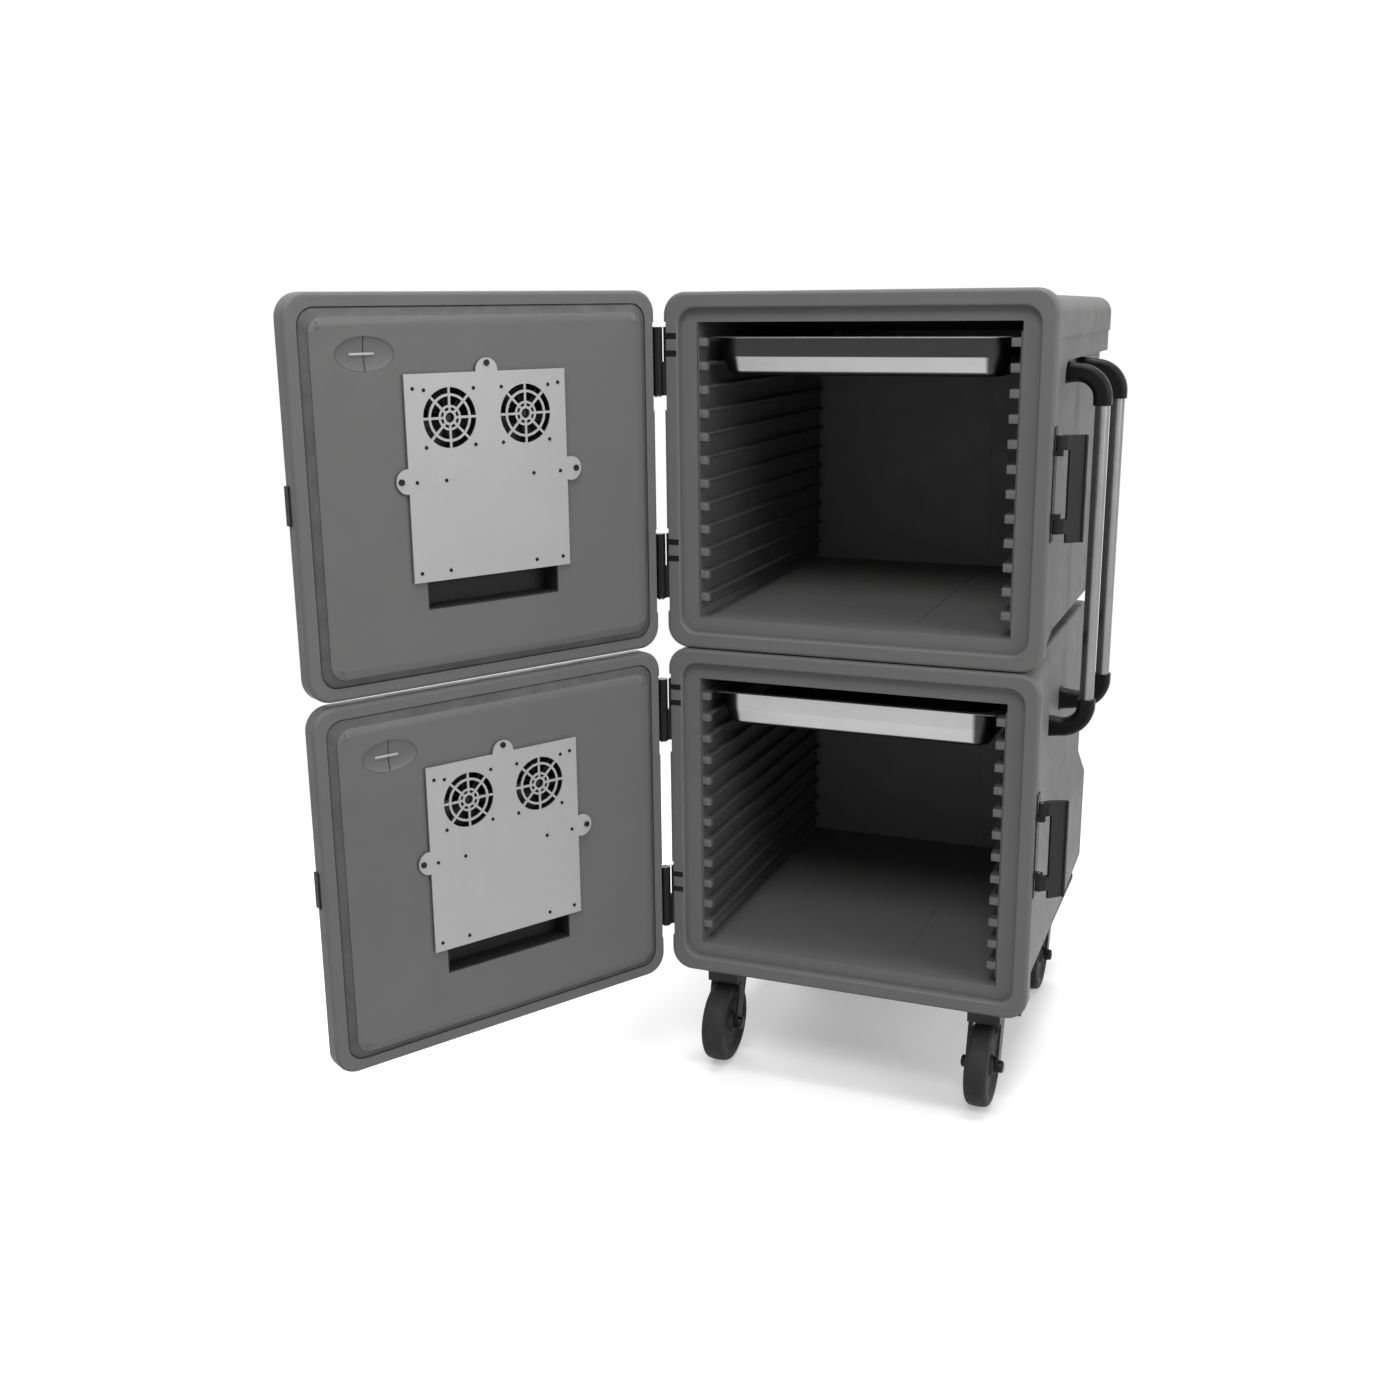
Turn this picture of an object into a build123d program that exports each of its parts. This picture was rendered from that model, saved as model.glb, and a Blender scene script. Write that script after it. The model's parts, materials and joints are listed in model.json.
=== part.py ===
from build123d import *
import os
from math import cos, radians, sin, tan

# Insulated food transport cart: two front-loading boxes stacked on a plate with four swivel
# casters, with both doors standing open. Millimetres, +Z up. In the sizes x runs to the right
# from the cart's middle, y runs back from the flange faces and z is the height above the floor.

# Pans, gastronorm 2/1 outline
pan_width = 530.0
pan_length = 650.0
pan_depth = 65.0
pan_front = 24.0
pan_wall = 1.2
pan_rim = 14.0
pan_rim_corner = 20.0
pan_corner = 40.0
pan_shoulder = 33.0
pan_shoulder_draft = 3.0
pan_bottom_round = 8.0
pan_draft = 20.0
pan_clearance = 0.2

# Rail panels
rail_count = 12
rail_pitch = 40.0
rail_foot = 45.0
rail_head = 26.0
rail_front = 15.0
rail_rear_gap = 11.8
rail_hold = 7.0
rail_tip_height = 3.5
rail_root_height = 10.0
panel_thickness = 3.0
panel_gap = 0.2
panel_margin = 12.0
rail_top = (rail_count - 1) * rail_pitch + rail_foot
rail_tip = pan_width / 2 - rail_hold

# Cavity and mouth of each box
pan_side_gap = 11.4
pan_rear_gap = 24.8
opening_sill = 53.0
cavity_taper = 11.2
cavity_draft = 4.0
mouth_step = 29.6
rabbet_depth = 14.0
rabbet_corner = 28.0
groove_x = 98.0
groove_front = 88.0
floor_groove_width = 1.6
floor_groove_depth = 0.8
stud_spread = 178.0
stud_y = 82.0
stud_length = 18.0
stud_width = 6.0
stud_height = 1.0
opening_width = pan_width + 2 * pan_side_gap
opening_height = rail_top + rail_head
cavity_rear_width = opening_width - cavity_taper
cavity_depth = pan_front + pan_length + pan_rear_gap

# Box mouldings
rim_width = 27.0
rim_round = 4.0
lower_head = 56.0
upper_head = 50.0
stack_gap = 2.0
flange_corner = 38.0
flange_depth = 34.0
flange_front_round = 7.0
flange_rear_round = 5.0
flange_proud = 13.0
back_wall = 66.2
body_taper = 18.0
body_drop = 10.0
body_rear_fall = 5.0
body_corner = 30.0
slab_height = 69.0
slab_proud = 3.0
skirt_taper = 10.0
skirt_height = 35.0
stack_rail_inset = 120.0
stack_rail_width = 50.0
stack_rail_front = 70.0
stack_rail_rear = 75.0
stack_rail_root = 22.0
flange_width = opening_width + 2 * (mouth_step + rim_width)
flange_side = flange_width / 2
body_width = flange_width - 2 * flange_proud
body_rear_width = body_width - body_taper
body_depth = cavity_depth + back_wall
lower_height = opening_sill + opening_height + lower_head
upper_height = opening_sill + opening_height + upper_head
stack_rail_spread = body_width - 2 * stack_rail_inset
stack_rail_length = body_depth - stack_rail_front - stack_rail_rear

# Handle recess in the right side
recess_depth = 24.0
recess_front = 190.0
recess_top = 118.0
recess_corner = 30.0
recess_ledge_drop = 343.0
recess_slope = 62.0
recess_slope_width = 22.0
recess_floor = body_width / 2 - recess_depth
recess_ledge = lower_height - recess_ledge_drop

# Base plate and casters
base_thickness = 10.0
base_side_gap = 2.0
base_front = 36.0
base_rear_gap = 29.0
base_corner = 10.0
caster_side_inset = 68.0
caster_front_inset = 59.0
caster_rear_inset = 116.0
caster_trail = 38.0
wheel_radius = 76.0
wheel_clear = 25.7
wheel_width = 42.0
wheel_round = 9.0
wheel_dish = 7.0
wheel_dish_radius = 56.0
wheel_hub_radius = 20.0
top_plate_length = 100.0
top_plate_width = 86.0
top_plate_thickness = 4.0
top_plate_corner = 8.0
race_radius = 27.0
race_height = 8.0
stem_radius = 7.0
stem_fit = 0.05
stem_gap = 1.5
swivel_gap = 0.3
crown_radius = 30.0
crown_height = 8.0
fork_gap = 2.5
fork_wall = 3.5
fork_foot = 15.0
axle_radius = 6.0
axle_fit = 0.05
axle_head_radius = 10.0
axle_head = 7.0
axle_head_round = 2.3
fork_fit = 0.03
base_width = body_width - 2 * base_side_gap
base_length = body_depth - base_front - base_rear_gap
caster_x = base_width / 2 - caster_side_inset
caster_front_y = base_front + caster_front_inset
caster_rear_y = base_front + base_length - caster_rear_inset
caster_height = 2 * wheel_radius + wheel_clear + crown_height + swivel_gap
caster_height += race_height + top_plate_thickness

# Doors
door_opening = 120.0
face_gap = 1.5
upper_door_rise = 3.0
lower_door_rise = -1.0
lower_door_trim = 1.0
door_edge = 34.0
door_panel_inset = 22.0
door_panel_height = 12.0
door_panel_draft = 20.0
door_panel_corner = 26.0
plug_corner = 24.0
plug_margin = 35.0
plug_rise = 6.0
face_side_margin = 48.0
face_margin = 50.0
face_rise = 11.0
face_corner = 1.5
groove_width = 14.0
groove_depth = 5.5
groove_corner = 28.0
gasket_width = 11.0
gasket_gap = 0.4
gasket_round = 2.5
upper_door_height = upper_height
lower_door_height = lower_height - lower_door_trim
plug_width = flange_width - 2 * plug_margin
face_width = flange_width - 2 * face_side_margin

# Vent in each door
vent_inset = 120.0
vent_drop = 90.0
vent_half_width = 48.5
vent_half_height = 26.0
vent_depth = 6.0
vent_insert = 4.5
vent_fit = 0.3
vent_split = 1.6
vent_slit = 41.0
vent_slit_height = 3.5
vent_slit_shift = 4.0
vent_x = flange_side - vent_inset

# Fans
fan_size = 96.0
fan_corner = 6.0
fan_depth = 25.0
fan_wall = 1.0
fan_screw_inset = 4.5
fan_strut = 5.0
fan_strut_depth = 3.0
fan_base_radius = 16.0
fan_post_radius = 3.0
fan_post_height = 17.0
rotor_fit = 0.05
rotor_hub_radius = 17.5
rotor_hub_height = 18.0
rotor_hub_round = 3.2
rotor_gap = 0.5
blade_count = 7
blade_sink = 2.5
blade_clear = 2.0
blade_root_chord = 17.0
blade_tip_chord = 25.0
blade_thickness = 1.6
blade_root_pitch = 48.0
blade_tip_pitch = 30.0
fan_bore = fan_size / 2 - fan_wall
fan_screw_pitch = fan_size - 2 * fan_screw_inset
blade_root = rotor_hub_radius - blade_sink
blade_tip = fan_bore - blade_clear

# Heater module in each door
fan_spread = 137.3
fan_drop = 68.2
module_room = 10.2
module_x = 7.75
module_top = 133.0
module_bottom = 487.0
module_depth = 43.0
module_fit = 0.3
module_wall = 2.0
module_rim = 12.0
plate_x = 9.75
plate_lap = 23.0
plate_height = 320.0
plate_drop = 121.5
plate_thickness = 2.0
plate_standoff = 4.0
ear_radius = 19.5
ear_screw_inset = 8.0
ear_far_screw_inset = 10.0
ear_top_tip = 21.0
ear_side_tip = 21.0
ear_far_tip = 27.3
ear_side_drop = 161.5
small_hole = 2.2
small_hole_inset = 13.75
small_inner_inset = 64.75
small_rows = (22.0, 164.0, 305.5)
duct_radius = 46.5
duct_ring = 37.0
middle_ring_outer = 33.0
middle_ring_inner = 19.5
inner_ring_outer = 16.0
inner_ring_inner = 11.5
grille_eye = 7.75
spoke_width = 3.8
spoke_pairs = 4
shoulder_radius = 4.5
screw_radius = 2.5
screw_head_radius = 5.0
screw_head_height = 2.4
screw_head_round = 0.8
screw_length = 12.0
screw_fit = 0.1
module_width = fan_spread + fan_size + module_room
plate_width = module_width + 2 * plate_lap
small_spread = plate_width - 2 * small_hole_inset
small_inner_spread = plate_width - 2 * small_inner_inset

# Hinges, one lift-off pair on each door
pin_out = 8.0
pin_y = -7.0
hinge_top_drop = 115.0
hinge_bottom_rise = 146.0
leaf_height = 115.0
leaf_depth = 28.0
leaf_gap = 0.3
leaf_start = 5.0
pocket_depth = 5.0
pocket_above = 8.0
pocket_below = 25.0
pocket_length = 31.0
barrel_radius = 9.0
web_width = 12.0
web_start = 3.0
web_round = 1.0
hinge_split = 0.2
pin_radius = 4.0
pin_fit = 0.05
pin_length = 108.0
pin_head_radius = 6.0
pin_head_height = 2.5
prong_length = 19.0
prong_thickness = 3.0
prong_height = 10.0
prong_fit = 0.2
prong_low = 13.0
prong_high = 42.0
pin_x = -(flange_side + pin_out)

# Latches on the free side
latch_upper_shift = 1.0
latch_lower_shift = 10.0
latch_base_height = 184.0
latch_base_front = 7.0
latch_base_depth = 26.0
latch_base_thickness = 7.0
latch_pocket = 5.0
latch_fit = 0.2
latch_pivot_out = 7.0
latch_pivot_back = 3.0
latch_boss = 6.4
latch_arm_height = 23.0
latch_arm_top = 79.5
latch_arm_low = 54.0
latch_plate_drop = 92.0
latch_lug_height = 9.0
latch_lug_gap = 0.3
latch_lug_sink = 2.0
latch_angle = 41.5
latch_inner = 16.0
latch_reach = 47.0
latch_face = 5.5
latch_back = 0.5
latch_gusset = 9.0
latch_gusset_at = 20.0
latch_bead = 2.9
latch_bead_width = 3.5
latch_pin_radius = 2.5
latch_pin_fit = 0.05
keeper_height = 60.0
keeper_width = 14.0
keeper_gap = 0.7
keeper_clear = 0.5
keeper_pocket = 2.0
latch_upper_rise = upper_height / 2 + latch_upper_shift
latch_lower_rise = lower_height / 2 + latch_lower_shift

# Push handles on the right side
handle_out = 53.0
handle_inset = 65.0
handle_spacing = 208.0
tube_radius = 12.5
tube_wall = 1.5
elbow_half = 15.5
elbow_corner = 9.0
elbow_root_height = 40.0
elbow_bend = 43.0
elbow_skirt = 12.0
elbow_pad_height = 44.0
elbow_pad_width = 36.0
elbow_pad_thickness = 3.0
elbow_pad_corner = 10.0
elbow_upper_drop = 140.0
elbow_lower_drop = 152.0
tube_fit = 0.05
tube_end_gap = 0.3
handle_x = body_width / 2 + handle_out
handle_front_y = recess_front + handle_inset
handle_rear_y = handle_front_y + handle_spacing
elbow_lower_rise = lower_height - elbow_lower_drop

# Heights worked out from the sizes above
lower_base = caster_height
upper_base = lower_base + lower_height + stack_gap
lower_door_base = lower_base + lower_door_rise
upper_door_base = upper_base + upper_door_rise

# The origin lies on the floor under the middle of the whole outline with both doors open.
door_span = flange_side - pin_x
outline_left = pin_x + door_span * cos(radians(door_opening))
outline_left -= (door_edge + face_gap + pin_y) * sin(radians(door_opening))
outline_right = handle_x + elbow_half
outline_front = pin_y - door_span * sin(radians(door_opening))
outline_front += (-face_gap - pin_y) * cos(radians(door_opening))
mid_x = -(outline_left + outline_right) / 2
front_y = -(outline_front + body_depth) / 2

latch_face_x = flange_side - latch_pocket + latch_base_thickness
latch_x = latch_face_x + latch_pivot_out
latch_y = latch_base_front + latch_pivot_back
keeper_x = latch_x - latch_face - keeper_clear
keeper_y = latch_y - latch_reach + latch_bead_width + keeper_gap + keeper_width / 2

os.makedirs("parts", exist_ok=True)


def write(piece, node):
    """Labels a finished piece and writes it as its own file."""
    piece.part.label = node
    export_step(piece.part, f"parts/{node}.step")


def front(depth):
    """Upright plane that looks forward, depth behind the flange faces."""
    return Plane(origin=(mid_x, front_y + depth, 0), x_dir=(1, 0, 0), z_dir=(0, -1, 0))


def side(reach):
    """Upright plane that looks right, with its first direction running back."""
    return Plane(origin=(mid_x + reach, front_y, 0), x_dir=(0, 1, 0), z_dir=(1, 0, 0))


def level(height):
    """Level plane at a height above the floor."""
    return Plane(origin=(mid_x, front_y, height), x_dir=(1, 0, 0), z_dir=(0, 0, 1))


def swung(plane):
    """The same plane, carried round the hinge axis with an opened door."""
    pin = Location((mid_x + pin_x, front_y + pin_y, 0))
    return Plane(pin * Rotation(0, 0, -door_opening) * pin.inverse() * plane.location)


door_out = Axis(swung(front(0)).origin, swung(front(0)).z_dir)


# Boxes
def body_section(depth, width, low, high):
    """Outline across the box body, with its tapered skirt and rounded shoulders."""
    with BuildSketch(front(depth)) as section:
        with BuildLine():
            Polyline(
                (skirt_taper - width / 2, low),
                (width / 2 - skirt_taper, low),
                (width / 2, low + skirt_height),
                (width / 2, high),
                (-width / 2, high),
                (-width / 2, low + skirt_height),
                close=True,
            )
        make_face()
        fillet(section.vertices().group_by(Axis.Y)[-1], body_corner)
    return section.sketch


def slab_section(depth, width, low, high):
    """Outline across the thicker top slab of the box."""
    with BuildSketch(front(depth)) as section:
        with Locations((0, (low + high) / 2)):
            Rectangle(width + 2 * slab_proud, high - low)
        fillet(section.vertices().group_by(Axis.Y)[-1], body_corner)
    return section.sketch


def floor_height(base, depth):
    """Height of the cavity's sloping floor at a depth behind the flange faces."""
    share = (depth - rabbet_depth) / (cavity_depth - rabbet_depth)
    return base + opening_sill + share * cavity_draft


def hinge_heights(base, height):
    return (base + hinge_bottom_rise, base + height - hinge_top_drop)


def box_shell(base, height, latch_z):
    """Foam-filled shell: flange, tapered body, rabbeted mouth, cavity and seats."""
    top = base + height
    low = base + body_drop
    high = top - body_drop
    crease = high - slab_height
    with BuildPart() as shell:
        with BuildSketch(front(0)):
            with Locations((0, base + height / 2)):
                RectangleRounded(flange_width, height, flange_corner)
        extrude(amount=-flange_depth)
        fillet(shell.edges().group_by(Axis.Y)[0], flange_front_round)
        fillet(shell.edges().group_by(Axis.Y)[-1], flange_rear_round)
        loft(
            [
                body_section(flange_depth, body_width, low, high - slab_proud),
                body_section(
                    body_depth, body_rear_width, low, high - slab_proud - body_rear_fall
                ),
            ]
        )
        loft(
            [
                slab_section(flange_depth, body_width, crease, high),
                slab_section(body_depth, body_rear_width, crease, high - body_rear_fall),
            ]
        )
        with BuildSketch(front(0)):
            with Locations((0, base + height / 2)):
                RectangleRounded(
                    flange_width - 2 * rim_width, height - 2 * rim_width, rabbet_corner
                )
        extrude(amount=-rabbet_depth, mode=Mode.SUBTRACT)
        fillet(shell.faces().sort_by(Axis.Y)[0].inner_wires()[0].edges(), rim_round)
        with BuildSketch(front(rabbet_depth)):
            with Locations((0, base + opening_sill + opening_height / 2)):
                Rectangle(opening_width, opening_height)
        with BuildSketch(front(cavity_depth)):
            with Locations((0, base + opening_sill + opening_height / 2)):
                Rectangle(cavity_rear_width, opening_height - 2 * cavity_draft)
        loft(mode=Mode.SUBTRACT)
        floor_front = floor_height(base, groove_front)
        floor_rear = floor_height(base, cavity_depth)
        ceiling = base + opening_sill + opening_height - cavity_draft
        with BuildSketch(side(groove_x - floor_groove_width / 2)):
            with BuildLine():
                Polyline(
                    (groove_front, floor_front - floor_groove_depth),
                    (cavity_depth + floor_groove_depth, floor_rear - floor_groove_depth),
                    (cavity_depth + floor_groove_depth, ceiling),
                    (cavity_depth - floor_groove_depth, ceiling),
                    (cavity_depth - floor_groove_depth, floor_rear + floor_groove_depth),
                    (groove_front, floor_front + floor_groove_depth),
                    close=True,
                )
            make_face()
        extrude(amount=floor_groove_width, mode=Mode.SUBTRACT)
        with BuildSketch(level(floor_height(base, stud_y) - stud_height)):
            with Locations((0, stud_y)):
                with GridLocations(stud_spread, 0, 2, 1):
                    Rectangle(stud_length, stud_width)
        extrude(amount=2 * stud_height)
        for height_z in hinge_heights(base, height):
            with BuildSketch(side(pocket_depth - flange_side)):
                with Locations((0, height_z + (pocket_above - pocket_below) / 2)):
                    Rectangle(2 * pocket_length, leaf_height + pocket_above + pocket_below)
            extrude(amount=-2 * pocket_depth, mode=Mode.SUBTRACT)
            with BuildSketch(front(prong_thickness)):
                for rise in (prong_low, prong_high):
                    with Locations((pocket_depth - flange_side, height_z + rise)):
                        Rectangle(
                            2 * (prong_length + prong_fit), prong_height + 2 * prong_fit
                        )
            extrude(amount=2 * prong_thickness, mode=Mode.SUBTRACT)
        with BuildSketch(side(flange_side - latch_pocket)):
            with Locations((latch_base_front + latch_base_depth / 2, latch_z)):
                Rectangle(latch_base_depth + 2 * latch_fit, latch_base_height + 2 * latch_fit)
        extrude(amount=2 * latch_base_thickness, mode=Mode.SUBTRACT)
    return shell


upper_latch_z = upper_base + latch_upper_rise
lower_latch_z = lower_base + latch_lower_rise
rail_centre_y = stack_rail_front + stack_rail_length / 2

with BuildPart() as upper_box_shell:
    add(box_shell(upper_base, upper_height, upper_latch_z).part)
    with BuildSketch(side(recess_floor)) as recess:
        with BuildLine():
            Polyline(
                (recess_front, upper_base - stack_gap),
                (2 * body_depth, upper_base - stack_gap),
                (2 * body_depth, upper_base + upper_height - recess_top),
                (recess_front, upper_base + upper_height - recess_top),
                close=True,
            )
        make_face()
        fillet(recess.vertices().group_by(Axis.Y)[-1].sort_by(Axis.X)[0], recess_corner)
    extrude(amount=flange_side, mode=Mode.SUBTRACT)
    with BuildSketch(level(upper_base - stack_gap)):
        with Locations((0, rail_centre_y)):
            with GridLocations(stack_rail_spread, 0, 2, 1):
                Rectangle(stack_rail_width, stack_rail_length)
    extrude(amount=stack_rail_root)
write(upper_box_shell, "upper_box_shell")

with BuildPart() as lower_box_shell:
    add(box_shell(lower_base, lower_height, lower_latch_z).part)
    with BuildSketch(front(recess_front)):
        with BuildLine():
            Polyline(
                (recess_floor, lower_base + recess_ledge),
                (recess_floor, upper_base),
                (recess_floor + 2 * recess_slope_width, upper_base),
                (recess_floor + 2 * recess_slope_width, lower_base + recess_ledge - 2 * recess_slope),
                close=True,
            )
        make_face()
    extrude(amount=-body_depth, mode=Mode.SUBTRACT)
    with BuildSketch(level(lower_base + lower_height - stack_rail_root)):
        with Locations((0, rail_centre_y)):
            with GridLocations(stack_rail_spread, 0, 2, 1):
                Rectangle(stack_rail_width, stack_rail_length)
    extrude(amount=stack_rail_root)
write(lower_box_shell, "lower_box_shell")


# Rail panels, each with its ledges on one side wall of a cavity
def wall_x(depth):
    """Half width of the cavity at a depth behind the flange faces."""
    share = (depth - rabbet_depth) / (cavity_depth - rabbet_depth)
    return opening_width / 2 + share * (cavity_rear_width - opening_width) / 2


def rail_panel(base, hand):
    rail_end = cavity_depth - rail_rear_gap
    outer_front = wall_x(rail_front) - panel_gap
    outer_rear = wall_x(rail_end) - panel_gap
    foot = base + opening_sill + cavity_draft + panel_margin
    head = base + opening_sill + opening_height - cavity_draft - panel_margin
    with BuildPart() as panel:
        with BuildSketch(level(foot)):
            with BuildLine():
                Polyline(
                    (hand * outer_front, rail_front),
                    (hand * outer_rear, rail_end),
                    (hand * (outer_rear - panel_thickness), rail_end),
                    (hand * (outer_front - panel_thickness), rail_front),
                    close=True,
                )
            make_face()
        extrude(amount=head - foot)
        with BuildSketch(front(rail_front)):
            for step in range(rail_count):
                ledge = base + opening_sill + rail_top - step * rail_pitch
                with BuildLine():
                    Polyline(
                        (hand * (outer_front - panel_thickness / 2), ledge),
                        (hand * rail_tip, ledge),
                        (hand * rail_tip, ledge - rail_tip_height),
                        (hand * (outer_front - panel_thickness / 2), ledge - rail_root_height),
                        close=True,
                    )
                make_face()
        extrude(amount=rail_front - rail_end)
        with BuildSketch(level(foot)):
            with BuildLine():
                Polyline(
                    (hand * outer_front, rail_front),
                    (hand * outer_front, rail_end),
                    (hand * outer_rear, rail_end),
                    close=True,
                )
            make_face()
        extrude(amount=head - foot, mode=Mode.SUBTRACT)
    return panel


for box_name, box_base in (("lower", lower_base), ("upper", upper_base)):
    for side_name, hand in (("left", -1), ("right", 1)):
        write(rail_panel(box_base, hand), f"{box_name}_{side_name}_rail_panel")


# Pans
def pan_block(base, inset):
    """Steep shoulder over a more sloping foot, the pan's outside or its hollow."""
    rim_z = base + opening_sill + rail_top + pan_clearance + pan_wall
    spare = inset + pan_rim
    step = pan_shoulder * tan(radians(pan_shoulder_draft))
    with BuildPart() as block:
        with BuildSketch(level(rim_z - pan_shoulder)):
            with Locations((0, pan_front + pan_length / 2)):
                RectangleRounded(
                    pan_width - 2 * spare - 2 * step,
                    pan_length - 2 * spare - 2 * step,
                    pan_corner - inset - step,
                )
        extrude(amount=inset + pan_shoulder - pan_depth, taper=pan_draft)
        fillet(block.edges().group_by(Axis.Z)[0], pan_bottom_round - inset)
        with BuildSketch(level(rim_z)):
            with Locations((0, pan_front + pan_length / 2)):
                RectangleRounded(
                    pan_width - 2 * spare, pan_length - 2 * spare, pan_corner - inset
                )
        extrude(amount=-pan_shoulder, taper=pan_shoulder_draft)
    return block


def pan(base):
    rim_z = base + opening_sill + rail_top + pan_clearance
    with BuildPart() as tray:
        add(pan_block(base, 0).part)
        with BuildSketch(level(rim_z)):
            with Locations((0, pan_front + pan_length / 2)):
                RectangleRounded(pan_width, pan_length, pan_rim_corner)
        extrude(amount=pan_wall)
        add(pan_block(base, pan_wall).part, mode=Mode.SUBTRACT)
    return tray


for box_name, box_base in (("lower", lower_base), ("upper", upper_base)):
    write(pan(box_base), f"{box_name}_pan")


# Doors
def door_shell(base, height, hinge_z, latch_z):
    middle = base + height / 2
    top = base + height
    outer_face = face_gap + door_edge
    with BuildPart() as door:
        with BuildSketch(swung(front(-face_gap))):
            with Locations((0, middle)):
                RectangleRounded(flange_width, height, flange_corner)
        extrude(amount=door_edge)
        fillet(door.edges().group_by(door_out)[0], flange_front_round)
        fillet(door.edges().group_by(door_out)[-1], flange_front_round)
        with BuildSketch(swung(front(-outer_face))):
            with Locations((0, middle)):
                RectangleRounded(
                    flange_width - 2 * door_panel_inset,
                    height - 2 * door_panel_inset,
                    door_panel_corner,
                )
        extrude(amount=door_panel_height, taper=door_panel_draft)
        with BuildSketch(swung(front(-face_gap))):
            with Locations((0, middle)):
                RectangleRounded(
                    plug_width + 2 * groove_width,
                    height - 2 * plug_margin + 2 * groove_width,
                    groove_corner,
                )
        extrude(amount=groove_depth, mode=Mode.SUBTRACT)
        with BuildSketch(swung(front(groove_depth - face_gap))):
            with Locations((0, middle)):
                RectangleRounded(plug_width, height - 2 * plug_margin, plug_corner)
        extrude(amount=2 * groove_depth)
        with BuildSketch(swung(front(-face_gap))):
            with Locations((0, middle)):
                RectangleRounded(plug_width, height - 2 * plug_margin, plug_corner)
        extrude(amount=-(plug_rise + face_gap))
        with BuildSketch(swung(front(plug_rise))):
            with Locations((0, middle)):
                RectangleRounded(plug_width, height - 2 * plug_margin, plug_corner)
        with BuildSketch(swung(front(face_rise))):
            with Locations((0, middle)):
                RectangleRounded(face_width, height - 2 * face_margin, face_corner)
        loft()
        with BuildSketch(swung(front(face_rise))):
            with Locations((vent_x, top - vent_drop)):
                Ellipse(vent_half_width, vent_half_height)
        extrude(amount=vent_depth, mode=Mode.SUBTRACT)
        with BuildSketch(swung(front(face_rise))):
            with Locations((module_x, top - (module_top + module_bottom) / 2)):
                Rectangle(module_width, module_bottom - module_top)
        extrude(amount=module_depth, mode=Mode.SUBTRACT)
        with BuildSketch(swung(front(face_rise))):
            with Locations(*ear_screws(top)):
                Circle(screw_radius + screw_fit)
        extrude(amount=screw_length + screw_fit, mode=Mode.SUBTRACT)
        for height_z in hinge_z:
            with BuildSketch(swung(side(pocket_depth - flange_side))):
                with Locations((-face_gap, height_z + (pocket_above - pocket_below) / 2)):
                    Rectangle(2 * pocket_length, leaf_height + pocket_above + pocket_below)
            extrude(amount=-2 * pocket_depth, mode=Mode.SUBTRACT)
        with BuildSketch(swung(side(flange_side - keeper_pocket))):
            with Locations((keeper_y, latch_z)):
                Rectangle(keeper_width + 2 * latch_fit, keeper_height + 2 * latch_fit)
        extrude(amount=2 * keeper_pocket, mode=Mode.SUBTRACT)
    return door


def ear_screws(top):
    """Screw centres of the three ears on a heater plate."""
    plate_top = top - plate_drop
    middle = plate_top - ear_side_drop
    return (
        (plate_x, plate_top + ear_top_tip - ear_screw_inset),
        (plate_x + plate_width / 2 + ear_side_tip - ear_screw_inset, middle),
        (plate_x - plate_width / 2 - ear_far_tip + ear_far_screw_inset, middle),
    )


def ear_centres(top):
    """Centres of the round ears on a heater plate."""
    plate_top = top - plate_drop
    middle = plate_top - ear_side_drop
    return (
        (plate_x, plate_top + ear_top_tip - ear_radius),
        (plate_x + plate_width / 2 + ear_side_tip - ear_radius, middle),
        (plate_x - plate_width / 2 - ear_far_tip + ear_radius, middle),
    )


def fan_centres(top):
    fan_z = top - plate_drop - fan_drop
    return (
        (plate_x + fan_spread / 2, fan_z),
        (plate_x - fan_spread / 2, fan_z),
    )


def gasket(base, height):
    with BuildPart() as seal:
        with BuildSketch(swung(front(-face_gap - groove_depth))):
            with Locations((0, base + height / 2)):
                spare = groove_width - gasket_width
                RectangleRounded(
                    plug_width + 2 * groove_width - spare,
                    height - 2 * plug_margin + 2 * groove_width - spare,
                    groove_corner - spare / 2,
                )
                RectangleRounded(
                    plug_width + spare,
                    height - 2 * plug_margin + spare,
                    plug_corner + spare / 2,
                    mode=Mode.SUBTRACT,
                )
        extrude(amount=-(groove_depth + face_gap - gasket_gap))
        fillet(seal.edges().group_by(door_out)[0], gasket_round)
    return seal


def vent(top):
    with BuildPart() as insert:
        with BuildSketch(swung(front(face_rise - vent_depth))):
            with Locations((vent_x, top - vent_drop)):
                Ellipse(vent_half_width - vent_fit, vent_half_height - vent_fit)
        extrude(amount=-vent_insert)
        with BuildSketch(swung(front(face_rise - vent_depth + vent_insert))):
            with Locations((vent_x, top - vent_drop)):
                Rectangle(vent_split, 2 * vent_half_height)
            with Locations((vent_x + vent_slit_shift, top - vent_drop)):
                Rectangle(vent_slit, vent_slit_height)
        extrude(amount=vent_split, mode=Mode.SUBTRACT)
    return insert


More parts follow.
